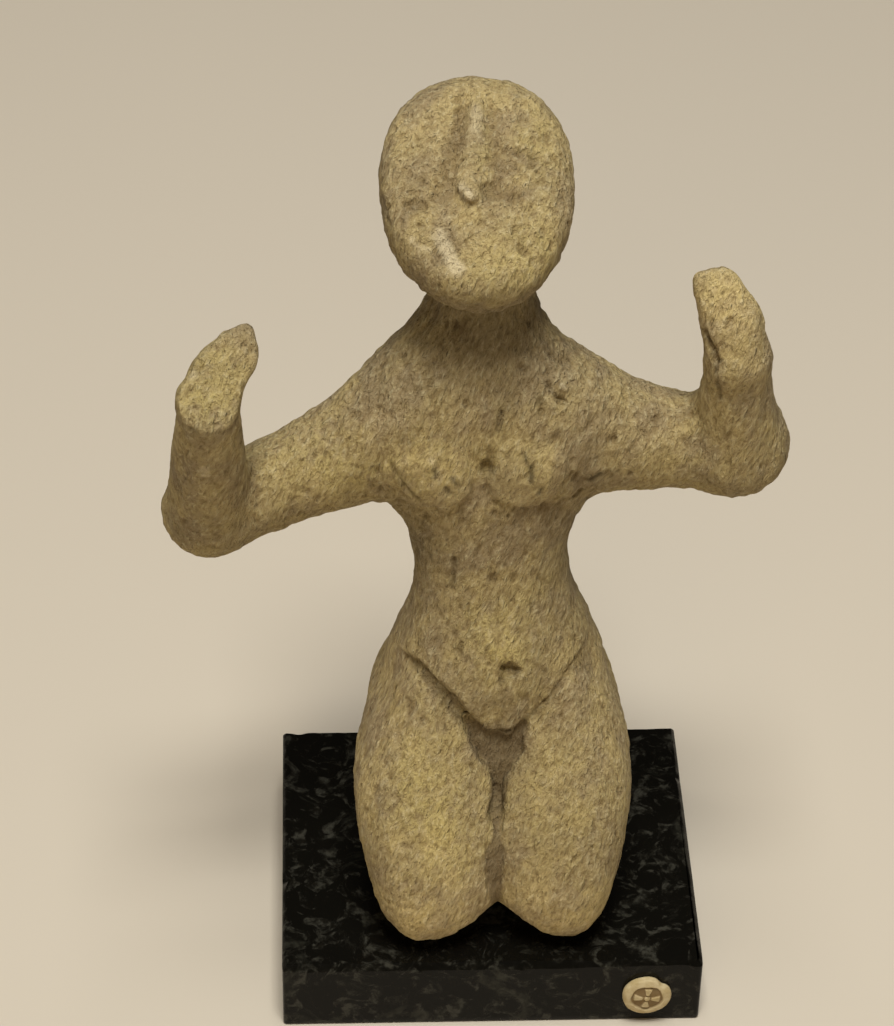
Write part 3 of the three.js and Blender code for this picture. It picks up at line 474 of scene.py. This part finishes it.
def skin(field, lo, hi, h, block=5, margin=4.5):
    lo, hi = np.array(lo, float), np.array(hi, float)
    nb = np.ceil((hi - lo) / (h * block)).astype(int)
    ax = [lo[i] + h * block * np.arange(nb[i] + 1) for i in range(3)]
    X, Y, Z = np.meshgrid(*ax, indexing="ij")
    C = in_parts(field, X.ravel(), Y.ravel(), Z.ravel()).reshape(X.shape)
    near = np.full(tuple(nb), 1e9)
    for i in (0, 1):
        for j in (0, 1):
            for k in (0, 1):
                near = np.minimum(near, np.abs(C[i:i + nb[0], j:j + nb[1], k:k + nb[2]]))
    n = nb * block
    G = np.repeat(np.repeat(np.repeat(C[:-1, :-1, :-1], block, 0), block, 1), block, 2)
    B = np.argwhere(near < margin)
    o = np.stack(np.meshgrid(*[np.arange(block)] * 3, indexing="ij"), -1).reshape(-1, 3)
    I = (B[:, None, :] * block + o[None]).reshape(-1, 3)
    G[tuple(I.T)] = in_parts(field, *(lo[i] + h * I[:, i] for i in range(3)))
    inside = G < 0
    corners = [(i, j, k) for i in (0, 1) for j in (0, 1) for k in (0, 1)]
    m = n - 1
    S = np.zeros(m, np.int8)
    for i, j, k in corners:
        S += inside[i:i + m[0], j:j + m[1], k:k + m[2]]
    act = (S > 0) & (S < 8)
    I = np.argwhere(act)
    idx = np.full(tuple(m), -1)
    idx[act] = np.arange(len(I))
    acc, cnt = np.zeros((len(I), 3)), np.zeros(len(I))
    for a in corners:
        for b in corners:
            if sum(b) - sum(a) != 1 or any(q > p for q, p in zip(a, b)):
                continue
            ca, cb = np.array(a), np.array(b)
            va, vb = G[tuple((I + ca).T)], G[tuple((I + cb).T)]
            s = (va < 0) != (vb < 0)
            t = np.where(s, va / np.where(s, va - vb, 1), 0)
            acc[s] += (ca + (cb - ca) * t[:, None])[s]
            cnt[s] += 1
    P = lo + h * (I + acc / cnt[:, None])
    quads = []
    for axis in range(3):
        e = [0, 0, 0]
        e[axis] = 1
        u, v = ((1, 2), (2, 0), (0, 1))[axis]
        A = inside[tuple(slice(0, n[q] - e[q]) for q in range(3))]
        D = inside[tuple(slice(e[q], n[q]) for q in range(3))]
        M = np.argwhere(A != D)
        M = M[(M[:, u] > 0) & (M[:, v] > 0) & (M[:, u] < n[u] - 1) & (M[:, v] < n[v] - 1)]
        du, dv = np.eye(3, dtype=int)[u], np.eye(3, dtype=int)[v]
        q = np.stack([idx[tuple((M - du - dv).T)], idx[tuple((M - dv).T)], idx[tuple(M.T)], idx[tuple((M - du).T)]], 1)
        flip = ~A[tuple(M.T)]
        q[flip] = q[flip][:, ::-1]
        quads.append(q)
    return P, np.concatenate(quads)


def slope(field, P, e=0.06):
    g = np.empty_like(P)
    for i in range(3):
        d = np.zeros(3)
        d[i] = e
        g[:, i] = (in_parts(field, *(P + d).T) - in_parts(field, *(P - d).T)) / (2 * e)
    return g


def mesh_object(name, points, faces, smooth=True):
    me = bpy.data.meshes.new(name)
    me.from_pydata([], [], [])
    n, f = len(points), len(faces)
    k = faces.shape[1]
    me.vertices.add(n)
    me.vertices.foreach_set("co", np.asarray(points, np.float32).ravel())
    me.loops.add(f * k)
    me.loops.foreach_set("vertex_index", faces.astype(np.int32).ravel())
    me.polygons.add(f)
    me.polygons.foreach_set("loop_start", np.arange(0, f * k, k, dtype=np.int32))
    me.polygons.foreach_set("use_smooth", np.full(f, smooth))
    me.update(calc_edges=True)
    me.validate()
    o = bpy.data.objects.new(name, me)
    bpy.context.scene.collection.objects.link(o)
    return o


def apply_modifiers(o):
    dg = bpy.context.evaluated_depsgraph_get()
    me = bpy.data.meshes.new_from_object(o.evaluated_get(dg))
    old = o.data
    o.modifiers.clear()
    o.data = me
    bpy.data.meshes.remove(old)
    me.name = o.name


def vertices(o):
    co = np.zeros(len(o.data.vertices) * 3, np.float32)
    o.data.vertices.foreach_get("co", co)
    return co.reshape(-1, 3).astype(float)


def store(o, name, values):
    a = o.data.attributes.new(name, "FLOAT", "POINT")
    a.data.foreach_set("value", np.clip(values, 0, 1).astype(np.float32))


STEP = 0.56
P, Q = skin(figure, (-80, -44, 16.9), (70, 44, 237), STEP)
for _ in range(2):
    g = slope(figure, P)
    f = in_parts(figure, *P.T)
    P = P - g * np.clip(f / np.maximum((g * g).sum(1), 1e-3), -STEP / 2, STEP / 2)[:, None]
g = slope(figure, P, 0.25)
N = g / np.maximum(np.linalg.norm(g, axis=1, keepdims=True), 1e-9)
h, _, _ = relief(*P.T)
flat_foot = step(REST_Z + 0.3, REST_Z + 2.0, P[:, 2])
P = P + N * (h * flat_foot)[:, None]
P[:, 2] = np.maximum(P[:, 2], REST_Z)
print("figure surface", len(P), "points", len(Q), "quads")
figurine = mesh_object("figurine_carving", P * MM, Q)
target = 196000
if 2 * len(Q) > target:
    m = figurine.modifiers.new("thin", "DECIMATE")
    m.ratio = target / (2 * len(Q))
    apply_modifiers(figurine)
figurine.data.polygons.foreach_set("use_smooth", np.ones(len(figurine.data.polygons), bool))
print("figure mesh", len(figurine.data.vertices), len(figurine.data.polygons))

# --- where the stone is paler, greyer or worn, and where light and shade are painted in ---
P = vertices(figurine) / MM
x, y, z = P.T
bend = sum(in_parts(figure, *(P + d).T) for d in 2.2 * np.vstack([np.eye(3), -np.eye(3)]))
# the material darkens inside corners as painted shade and greys outside corners as wear
hollow = np.clip(-bend / 2.2 ** 2 * 1.6 - 0.02, 0, 1)  # inside corners
edge = np.clip(bend / 2.2 ** 2 * 1.2 - 0.15, 0, 1)  # outside corners
_, pit_shade, recess_shade = relief(x, y, z)
patch = fbm(x / 7, y / 7, z / 9, 101, 4)
# straw patches: partly random colour, partly painted light on the lit belly, thighs, breasts, left shoulder, palms,
# right hand, face and top of the head
straw_and_light = sum(k * blob(x, y, z, c, r) for k, c, r in (
    (1.0, (0, -22, 104), (9, 9, 12)), (0.9, (-16, -30, 60), (12, 12, 26)), (0.55, (17, -30, 58), (13, 12, 28)),
    (0.9, (-14, -17, 151), (9, 6, 9)), (0.6, (7, -17, 151), (8, 6, 8)), (0.8, (-38, -12, 150), (20, 10, 9)),
    (0.8, (-62, -25, 181), (9, 9, 10)), (0.7, (46, -15, 195), (8, 8, 9)), (0.7, (4, -13, 207), (9, 9, 8)), (0.6, (4, 3, 222), (7, 8, 8)),
    (0.5, (-2, -18, 203), (9, 5, 5)), (0.5, (-6, 0, 223), (3, 9, 8)), (0.5, (-14, -10, 62), (9, 40, 10)), (0.4, (38, -12, 146), (14, 8, 8))))
straw_and_light = np.clip(straw_and_light + 0.45 * patch, 0, 1)
strip_mid, strip_wide, strip_deep = curve(z, STRIP)
# painted shadow in the sunk flat between the thighs, under the ledge of the belly
strip_shadow = (1 - step(-0.3, 0.6, np.abs(x - strip_mid) - strip_wide)) * (1 - step(-19, -16, y)) * (1 - step(79, 82, z))
# greyer places: random greying, the back of the head and by the right shoulder, and painted shade on the neck under
# the chin, the waist sides, the left forearm and the sunk flat between the thighs
grey = sum(k * blob(x, y, z, c, r) for k, c, r in (
    (0.9, (-3, -11, 178), (24, 14, 15)), (0.5, (16, -14, 118), (8, 14, 20)), (0.5, (26, -12, 158), (14, 12, 10)),
    (0.4, (-10, 0, 226), (16, 10, 10)), (0.5, (-14, -14, 126), (9, 10, 14)), (0.5, (-60, -20, 150), (12, 12, 16))))
grey = np.clip(grey + 0.8 * strip_shadow + 0.3 * fbm(x / 11, y / 11, z / 11, 131, 3), 0, 1)
wx, wz = x + 0.35 * noise(x * 0.8, y * 0.8, z * 0.8, 161), z + 0.35 * noise(x * 0.8, y * 0.8, z * 0.8, 162)
worn = 0
for line, w, k in WORN:
    worn = np.maximum(worn, k * step(0.15, 0.75, stroke(wx, y, wz, line, w * 1.2)))
worn = np.clip(worn * (0.85 + 0.3 * noise(x / 1.1, y / 1.1, z / 1.1, 151)), 0, 1)
# painted light and shade: darker on the neck and under the chin, beside the neck, on the waist sides and the elbows,
# lighter on the hips, thighs, breasts, left shoulder, right hand and head
painted_light_and_tone = 1 + sum(k * blob(x, y, z, c, r) for k, c, r in (
    (-0.40, (-3, -11, 184), (22, 14, 12)), (-0.36, (-21, -8, 124), (8, 16, 18)), (-0.38, (20, -8, 124), (8, 16, 18)),
    (0.32, (-28, -14, 82), (9, 18, 17)), (0.24, (27, -14, 82), (9, 18, 17)), (0.38, (-16, -35, 32), (15, 14, 14)), (0.28, (17, -35, 32), (15, 14, 14)),
    (0.14, (-14, -34, 52), (12, 12, 15)), (0.36, (46, -14, 194), (9, 9, 10)), (-0.06, (-62, -24, 181), (9, 9, 10)), (0.20, (-15, -17, 149), (9, 6, 10)), (0.10, (5, -17, 149), (9, 6, 10)),
    (-0.12, (-22, -6, 200), (8, 8, 10)), (-0.10, (-62, -10, 134), (14, 16, 12)), (-0.12, (54, -10, 146), (14, 14, 14)), (-0.14, (-4, -20, 200), (16, 6, 4)), (0.14, (-20, -10, 158), (12, 8, 8)),
    (0.10, (-6, 2, 220), (24, 20, 16))))
# darker again in the sunk flat between the thighs as painted shadow, with small random colour changes on top
painted_light_and_tone = painted_light_and_tone * (1 - 0.18 * strip_shadow) * (1 + 0.10 * fbm(x / 5, y / 5, z / 7, 171, 3))
store(figurine, "painted_light_and_tone", painted_light_and_tone / 2)
store(figurine, "pit_shade", pit_shade)
store(figurine, "recess_shade", recess_shade)
store(figurine, "hollow", hollow)
store(figurine, "edge", edge)
store(figurine, "straw_and_light", straw_and_light)
store(figurine, "grey", grey)
store(figurine, "worn", worn)
store(figurine, "strip_shadow", strip_shadow)


# ---------------------------------------------------------------------------
# Materials
# ---------------------------------------------------------------------------
class Nodes:
    def __init__(self, name):
        self.mat = bpy.data.materials.new(name)
        self.mat.use_nodes = True
        self.t = self.mat.node_tree
        self.t.nodes.clear()
        self.bsdf = self.new("ShaderNodeBsdfPrincipled")
        out = self.new("ShaderNodeOutputMaterial")
        self.t.links.new(self.bsdf.outputs[0], out.inputs[0])

    def new(self, kind, **props):
        n = self.t.nodes.new(kind)
        for k, v in props.items():
            setattr(n, k, v)
        return n

    def put(self, socket, value):
        if hasattr(value, "is_output"):
            self.t.links.new(value, socket)
        elif hasattr(value, "__len__") and len(value) == 3 and socket.type == "RGBA":
            socket.default_value = (*value, 1)
        else:
            socket.default_value = value

    def coords(self, scale=(1, 1, 1), rotate=(0, 0, 0), move=(0, 0, 0)):
        tc = self.new("ShaderNodeTexCoord")
        a = self.new("ShaderNodeMapping", vector_type="POINT")
        self.put(a.inputs["Rotation"], rotate)
        self.t.links.new(tc.outputs["Object"], a.inputs["Vector"])
        b = self.new("ShaderNodeMapping", vector_type="POINT")
        self.put(b.inputs["Scale"], tuple(s / MM for s in scale))
        self.put(b.inputs["Location"], move)
        self.t.links.new(a.outputs[0], b.inputs["Vector"])
        return b.outputs[0]

    def noise(self, vec, scale=1.0, detail=3.0, rough=0.55, distortion=0.0, kind="FBM"):
        n = self.new("ShaderNodeTexNoise", noise_dimensions="3D", noise_type=kind)
        self.put(n.inputs["Vector"], vec)
        for k, v in (("Scale", scale), ("Detail", detail), ("Roughness", rough), ("Distortion", distortion)):
            self.put(n.inputs[k], v)
        return n.outputs["Fac"]

    def cells(self, vec, scale=1.0, feature="F1", rnd=1.0):
        n = self.new("ShaderNodeTexVoronoi", voronoi_dimensions="3D", feature=feature)
        self.put(n.inputs["Vector"], vec)
        self.put(n.inputs["Scale"], scale)
        self.put(n.inputs["Randomness"], rnd)
        return n.outputs["Distance"]

    def attr(self, name):
        n = self.new("ShaderNodeAttribute", attribute_name=name)
        return n.outputs["Fac"]

    def ramp(self, fac, lo, hi, a=0.0, b=1.0, smooth=True):
        n = self.new("ShaderNodeMapRange", interpolation_type="SMOOTHSTEP" if smooth else "LINEAR")
        self.put(n.inputs["Value"], fac)
        self.put(n.inputs["From Min"], lo)
        self.put(n.inputs["From Max"], hi)
        self.put(n.inputs["To Min"], a)
        self.put(n.inputs["To Max"], b)
        return n.outputs["Result"]

    def math(self, op, a, b=None, clamp=False):
        n = self.new("ShaderNodeMath", operation=op, use_clamp=clamp)
        self.put(n.inputs[0], a)
        if b is not None:
            self.put(n.inputs[1], b)
        return n.outputs[0]

    def mix(self, fac, a, b, blend="MIX"):
        n = self.new("ShaderNodeMix", data_type="RGBA", blend_type=blend, clamp_factor=True)
        self.put(n.inputs[0], fac)
        self.put(n.inputs[6], a)
        self.put(n.inputs[7], b)
        return n.outputs[2]

    def bump(self, height, distance, strength=1.0, normal=None):
        n = self.new("ShaderNodeBump")
        self.put(n.inputs["Height"], height)
        self.put(n.inputs["Distance"], distance)
        self.put(n.inputs["Strength"], strength)
        if normal is not None:
            self.put(n.inputs["Normal"], normal)
        return n.outputs[0]


def lin(r, g, b):
    f = lambda c: (c / 255 / 12.92) if c <= 10 else ((c / 255 + 0.055) / 1.055) ** 2.4
    return (f(r), f(g), f(b))


TURN = (math.radians(7), math.radians(-17), 0)  # lines the stretched textures up with the grain


def figure_stone():
    m = Nodes("weathered_pale_stone")
    big = m.noise(m.coords((1 / 9, 1 / 9, 1 / 13), TURN), detail=5, rough=0.6)
    mid = m.noise(m.coords((1 / 2.6, 1 / 2.6, 1 / 4.4), TURN, (3, 1, 7)), detail=4, rough=0.6)
    fib = m.noise(m.coords((1 / 0.95, 1 / 0.95, 1 / 2.6), TURN, (9, 4, 2)), detail=4, rough=0.60)
    fine = m.noise(m.coords((1 / 0.35, 1 / 0.35, 1 / 0.8), TURN, (5, 8, 1)), detail=3, rough=0.6)
    speck = m.noise(m.coords((1 / 1.1, 1 / 1.1, 1 / 2.9), TURN, (21, 14, 5)), detail=2, rough=0.5)

    tan, grey, straw = lin(184, 164, 116), lin(160, 142, 108), lin(202, 183, 120)
    brown, umber, pale = lin(116, 94, 56), lin(66, 48, 26), lin(222, 208, 168)
    c = m.mix(m.ramp(big, 0.40, 0.62), tan, grey)
    # greyer places, partly painted shade
    c = m.mix(m.math("MULTIPLY", m.attr("grey"), 0.75), c, grey)
    # straw colour for the patches and the painted light
    patchy = m.math("MULTIPLY", m.attr("straw_and_light"), m.ramp(mid, 0.36, 0.60, 0.25, 1.0))
    c = m.mix(m.math("MULTIPLY", patchy, 0.85), c, straw)
    c = m.mix(m.ramp(mid, 0.54, 0.70, 0, 0.45), c, grey)
    # the fine fibrous streaks, darker and paler
    c = m.mix(m.ramp(fib, 0.50, 0.64, 0, 0.45), c, brown)
    c = m.mix(m.ramp(fib, 0.46, 0.34, 0, 0.35), c, pale)
    c = m.mix(m.ramp(speck, 0.62, 0.80, 0, 0.40), c, umber)
    c = m.mix(m.ramp(fine, 0.60, 0.74, 0, 0.25), c, brown)
    # painted shade in pits and inside corners, handling wear on the outside ones
    c = m.mix(m.math("MULTIPLY", m.attr("pit_shade"), 0.30), c, lin(98, 76, 42))
    c = m.mix(m.math("MULTIPLY", m.attr("hollow"), 0.38, True), c, lin(92, 70, 40))
    c = m.mix(m.math("MULTIPLY", m.attr("edge"), 0.30, True), c, grey)
    # painted shadow in the sunk flat between the thighs
    c = m.mix(m.math("MULTIPLY", m.attr("strip_shadow"), 0.60), c, lin(128, 110, 82))
    # near black painted shade in the bottoms of the placed holes, creases and dents
    c = m.mix(m.attr("recess_shade"), c, lin(34, 22, 9))
    # multiplies in the painted light and shade
    c = m.mix(1.0, c, m.ramp(m.attr("painted_light_and_tone"), 0.0, 1.0, 0.0, 2.0, False), "MULTIPLY")
    c = m.mix(m.math("MULTIPLY", m.attr("worn"), 0.9), c, lin(228, 212, 176))
    m.put(m.bsdf.inputs["Base Color"], c)
    m.put(m.bsdf.inputs["Roughness"], m.ramp(mid, 0.3, 0.7, 0.76, 0.92))
    m.put(m.bsdf.inputs["Specular IOR Level"], 0.22)
    height = m.math("ADD", m.math("MULTIPLY", fib, -0.75), m.math("MULTIPLY", fine, -0.25))
    n = m.bump(height, 0.0016, 1.0)
    n = m.bump(m.math("ADD", mid, m.math("MULTIPLY", speck, -0.7)), 0.0009, 1.0, n)
    m.put(m.bsdf.inputs["Normal"], n)
    return m.mat


def black_stone():
    m = Nodes("polished_black_stone")
    warp = m.noise(m.coords((1 / 14, 1 / 14, 1 / 14)), detail=4, rough=0.6, distortion=1.2)
    cloud = m.noise(m.coords((1 / 6.5, 1 / 6.5, 1 / 6.5), move=(3, 5, 1)), detail=5, rough=0.62, distortion=1.6)
    vein = m.noise(m.coords((1 / 9, 1 / 9, 1 / 9), (0.4, 0.3, 0.9), (8, 2, 4)), detail=6, rough=0.65, distortion=2.2, kind="RIDGED_MULTIFRACTAL")
    small = m.noise(m.coords((1 / 2.2, 1 / 2.2, 1 / 2.2), move=(1, 9, 3)), detail=4, rough=0.65)
    c = m.mix(m.ramp(cloud, 0.45, 0.75), lin(14, 13, 10), lin(26, 24, 19))
    grain_mask = m.math("MULTIPLY", m.ramp(cloud, 0.50, 0.64), m.ramp(small, 0.40, 0.62))
    c = m.mix(m.math("MULTIPLY", grain_mask, 0.70), c, lin(68, 67, 60))
    c = m.mix(m.math("MULTIPLY", m.ramp(warp, 0.56, 0.70), m.ramp(small, 0.35, 0.6, 0.2, 0.8)), c, lin(50, 49, 42))
    m.put(m.bsdf.inputs["Base Color"], c)
    m.put(m.bsdf.inputs["Roughness"], m.ramp(m.noise(m.coords((1 / 3, 1 / 3, 1 / 3)), detail=4), 0.3, 0.7, 0.10, 0.22))
    m.put(m.bsdf.inputs["Specular IOR Level"], 0.13)
    m.put(m.bsdf.inputs["Normal"], m.bump(small, 0.00003, 0.5))
    return m.mat


def seal_compound():
    m = Nodes("cream_cast_compound")
    a = m.noise(m.coords((1 / 2.2,) * 3), detail=5, rough=0.6)
    b = m.noise(m.coords((1 / 0.35,) * 3, move=(4, 4, 4)), detail=3, rough=0.6)
    c = m.mix(m.ramp(a, 0.35, 0.65), lin(186, 166, 122), lin(206, 189, 150))
    c = m.mix(m.math("MULTIPLY", m.attr("low"), 0.8), c, lin(112, 86, 50))
    c = m.mix(m.ramp(b, 0.6, 0.75, 0, 0.35), c, lin(140, 116, 78))
    m.put(m.bsdf.inputs["Base Color"], c)
    m.put(m.bsdf.inputs["Roughness"], 0.72)
    m.put(m.bsdf.inputs["Specular IOR Level"], 0.3)
    m.put(m.bsdf.inputs["Normal"], m.bump(m.math("ADD", a, b), 0.00012, 0.6))
    return m.mat


# ---------------------------------------------------------------------------
# The block: hand-finished edges, so the bevels wander and carry small chips
# ---------------------------------------------------------------------------
def block():
    W, D, H = BASE_W / 2, BASE_D / 2, BASE_H
    stepmm = 0.6
    ring = []  # x, y on the outline, outward normal, corner factor
    c = 0.9
    def side(x0, y0, x1, y1, nx, ny):
        n = int(max(abs(x1 - x0), abs(y1 - y0)) / stepmm)
        for i in range(n):
            t = i / n
            ring.append((x0 + (x1 - x0) * t, y0 + (y1 - y0) * t, nx, ny))
    def corner(cx, cy, a0):
        for i in range(4):
            a = math.radians(a0 + 90 * (i + 0.0) / 4)
            ring.append((cx + c * math.cos(a), cy + c * math.sin(a), math.cos(a), math.sin(a)))
    side(-W + c, -D, W - c, -D, 0, -1)
    corner(W - c, -D + c, -90)
    side(W, -D + c, W, D - c, 1, 0)
    corner(W - c, D - c, 0)
    side(W - c, D, -W + c, D, 0, 1)
    corner(-W + c, D - c, 90)
    side(-W, D - c, -W, -D + c, -1, 0)
    corner(-W + c, -D + c, 180)
    R = np.array(ring)
    x, y, nx, ny = R.T
    front = (ny < -0.5)
    wide = np.where(front, 1.35 - 0.55 * step(10, 48, x), 0.85)
    wide = wide + 0.12 * noise(x / 6, y / 6, x * 0, 201) + 0.06 * noise(x / 1.5, y / 1.5, x * 0, 202)
    chip = np.zeros_like(x)
    for cx, cy, r, deep in ((48.9, -40.2, 2.0, 0.9), (30.5, -40.8, 1.2, 0.5), (-17.5, -40.8, 1.3, 0.6), (7.0, -40.8, 0.9, 0.4), (-49.8, -12, 1.4, 0.5), (49.9, 22, 1.1, 0.4), (-46, 40.7, 1.5, 0.6)):
        chip = np.maximum(chip, deep * np.exp(-(((x - cx) ** 2 + (y - cy) ** 2) / r ** 2)))
    wide = wide + chip
    rows = []
    for inset, zz in ((0.35, 0.0), (0.12, 0.1), (0.0, 0.4)):
        rows.append(np.column_stack([x - nx * inset, y - ny * inset, np.full_like(x, zz)]))
    for t in np.linspace(0.08, 0.92, 7):
        rows.append(np.column_stack([x, y, np.full_like(x, 0.4 + (H - 2.6 - 0.4) * t)]))
    for t, s in ((1.0, 0.0), (0.97, 0.03), (0.88, 0.10), (0.5, 0.5), (0.10, 0.88), (0.03, 0.97), (0.0, 1.0)):
        rows.append(np.column_stack([x - nx * wide * s, y - ny * wide * s, H - wide * t]))
    n = len(x)
    pts = np.vstack(rows)
    faces = []
    for r in range(len(rows) - 1):
        i = np.arange(n)
        j = (i + 1) % n
        faces.append(np.stack([r * n + i, r * n + j, (r + 1) * n + j, (r + 1) * n + i], 1))
    me = bpy.data.meshes.new("base_block")
    f = [tuple(int(v) for v in q) for q in np.concatenate(faces)]
    f.append(tuple(range(n))[::-1])
    f.append(tuple((len(rows) - 1) * n + i for i in range(n)))
    me.from_pydata([tuple(p * MM) for p in pts], [], f)
    me.update()
    o = bpy.data.objects.new("base_block", me)
    bpy.context.scene.collection.objects.link(o)
    for p in me.polygons:
        p.use_smooth = len(p.vertices) == 4
    me.set_sharp_from_angle(angle=math.radians(28))
    return o


# ---------------------------------------------------------------------------
# The seal: a cast disc with a raised lip and a plain rosette, one edge chipped
# ---------------------------------------------------------------------------
def seal():
    X0, Z0, R0 = 36.9, 9.3, 5.85
    back = -BASE_D / 2 - 0.02
    nr, na = 60, 240
    rr = np.concatenate([np.linspace(0.02, 0.94, nr), [0.97, 0.99, 1.0]])
    aa = np.arange(na) * 2 * math.pi / na
    r, a = np.meshgrid(rr, aa, indexing="ij")
    deg = np.degrees(a)
    away = np.abs((deg - 48 + 540) % 360 - 180)
    rim = R0 * (1 + 0.012 * np.sin(3 * a + 1)) - 0.9 * np.exp(-((away / 16) ** 2)) + 0.10 * noise(3 * np.cos(a), 3 * np.sin(a), a * 0, 301)
    u, v = r * rim * np.cos(a), r * rim * np.sin(a)
    dome = 1.1 + 1.2 * np.sqrt(np.maximum(1 - r * r, 0))
    s = length(u, v) / R0
    field = 1 - step(0.60, 0.70, s + 0.02 * np.sin(5 * a))
    petals = step(0.10, 0.55, np.cos(4 * a + 0.4)) * step(0.12, 0.22, s) * (1 - step(0.50, 0.58, s))
    boss = 1 - step(0.09, 0.15, s)
    hgt = -0.50 * field + 0.42 * np.maximum(petals, boss)
    hgt = hgt + 0.07 * fbm(u / 0.9, v / 0.9, u * 0, 311, 3)
    low = np.clip(field - np.maximum(petals, boss), 0, 1)
    t = np.minimum(dome + hgt, 2.25)
    t = np.where(r > 0.985, np.minimum(t, 0.95), t)
    pts = [np.array([[X0, back - (1.1 + 1.2 - 0.5 + 0.42), Z0]])]
    lows = [np.zeros(1)]
    for i in range(len(rr)):
        pts.append(np.column_stack([X0 + u[i], back - t[i], Z0 + v[i]]))
        lows.append(low[i])
    for f, d in ((1.0, 0.45), (0.985, 0.12), (0.96, 0.0)):
        pts.append(np.column_stack([X0 + u[-1] * f, np.full(na, back - d), Z0 + v[-1] * f]))
        lows.append(np.zeros(na))
    V = np.vstack(pts)
    faces, rings = [], len(pts) - 1
    for i in range(na):
        j = (i + 1) % na
        faces.append((0, 1 + i, 1 + j))
        for k in range(rings - 1):
            b0, b1 = 1 + k * na, 1 + (k + 1) * na
            faces.append((b0 + i, b1 + i, b1 + j, b0 + j))
    faces.append(tuple(1 + (rings - 1) * na + i for i in range(na))[::-1])
    me = bpy.data.meshes.new("seal_disc")
    me.from_pydata([tuple(p * MM) for p in V], [], faces)
    me.update()
    bm = bmesh.new()
    bm.from_mesh(me)
    bmesh.ops.recalc_face_normals(bm, faces=bm.faces)
    bm.to_mesh(me)
    bm.free()
    for p in me.polygons:
        p.use_smooth = len(p.vertices) < 5
    o = bpy.data.objects.new("seal_disc", me)
    bpy.context.scene.collection.objects.link(o)
    store(o, "low", np.concatenate(lows))
    return o


base = block()
disc = seal()
for piece, node, slot, mat in ((figurine, "figurine", "pale_stone", figure_stone()), (base, "stone_base", "black_stone", black_stone()), (disc, "round_seal", "cream_seal", seal_compound())):
    piece.data.materials.clear()
    piece.data.materials.append(mat)
    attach(piece, "root")
    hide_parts(node)
for name, mat in (("figurine", figurine), ("stone_base", base), ("round_seal", disc)):
    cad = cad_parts[name]
    cad.data.materials.clear()
    cad.data.materials.append(mat.data.materials[0])

# ---------------------------------------------------------------------------
# Floor, light, camera
# ---------------------------------------------------------------------------
def floor():
    me = bpy.data.meshes.new("floor")
    s = 4.0
    me.from_pydata([(-s, -s, -0.0002), (s, -s, -0.0002), (s, s, -0.0002), (-s, s, -0.0002)], [], [(0, 1, 2, 3)])
    o = bpy.data.objects.new("floor", me)
    bpy.context.scene.collection.objects.link(o)
    m = Nodes("pale_floor")
    m.put(m.bsdf.inputs["Base Color"], lin(212, 202, 187))
    m.put(m.bsdf.inputs["Roughness"], 0.9)
    m.put(m.bsdf.inputs["Specular IOR Level"], 0.1)
    me.materials.append(m.mat)


floor()


def lamp(name, az, el, dist, size, watts, color, target=(0, 0, 0.12)):
    l = bpy.data.lights.new(name, "AREA")
    l.shape = "RECTANGLE"
    l.size, l.size_y = size
    l.energy = watts
    l.color = color
    o = bpy.data.objects.new(name, l)
    a, e = math.radians(az), math.radians(el)
    t = Vector(target)
    o.location = t + dist * Vector((math.sin(a) * math.cos(e), -math.cos(a) * math.cos(e), math.sin(e)))
    o.rotation_euler = (t - o.location).to_track_quat("-Z", "Y").to_euler()
    o.visible_camera = False
    bpy.context.scene.collection.objects.link(o)
    return o


lamp("key_high", 2, 73, 1.5, (0.45, 0.40), 18.0, (1.0, 0.985, 0.92))
lamp("top", 0, 88, 1.5, (0.5, 0.5), 6.0, (1.0, 0.985, 0.92))
lamp("fill_front", -14, 20, 2.0, (0.9, 0.7), 5.5, (1.0, 0.80, 0.52))
lamp("fill_back_left", -128, 22, 2.0, (0.9, 0.9), 2.0, (1.0, 0.90, 0.78))
lamp("fill_back_right", 128, 22, 2.0, (0.9, 0.9), 2.0, (1.0, 0.90, 0.78))

world = bpy.data.worlds.new("studio")
world.use_nodes = True
bg = world.node_tree.nodes["Background"]
bg.inputs[0].default_value = (1.0, 0.86, 0.68, 1)
bg.inputs[1].default_value = 0.05
bpy.context.scene.world = world
bpy.context.scene.view_settings.view_transform = "Standard"

cam = bpy.data.cameras.new("camera")
cam.sensor_width = 36
cam.lens = 3346.46 * 36 / 1026
cam.clip_start, cam.clip_end = 0.01, 20
co = bpy.data.objects.new("camera", cam)
az, el, roll = math.radians(-2.77), math.radians(39.69), math.radians(1.19)
back = Vector((math.sin(az) * math.cos(el), -math.cos(az) * math.cos(el), math.sin(el)))
xc = Vector((0, 0, 1)).cross(back).normalized()
yc = back.cross(xc)
xr = xc * math.cos(roll) + yc * math.sin(roll)
yr = -xc * math.sin(roll) + yc * math.cos(roll)
M = Matrix((xr, yr, back)).transposed().to_4x4()
M.translation = Vector((-39.371, -581.273, 608.178)) * MM
co.matrix_world = M
bpy.context.scene.collection.objects.link(co)
bpy.context.scene.camera = co
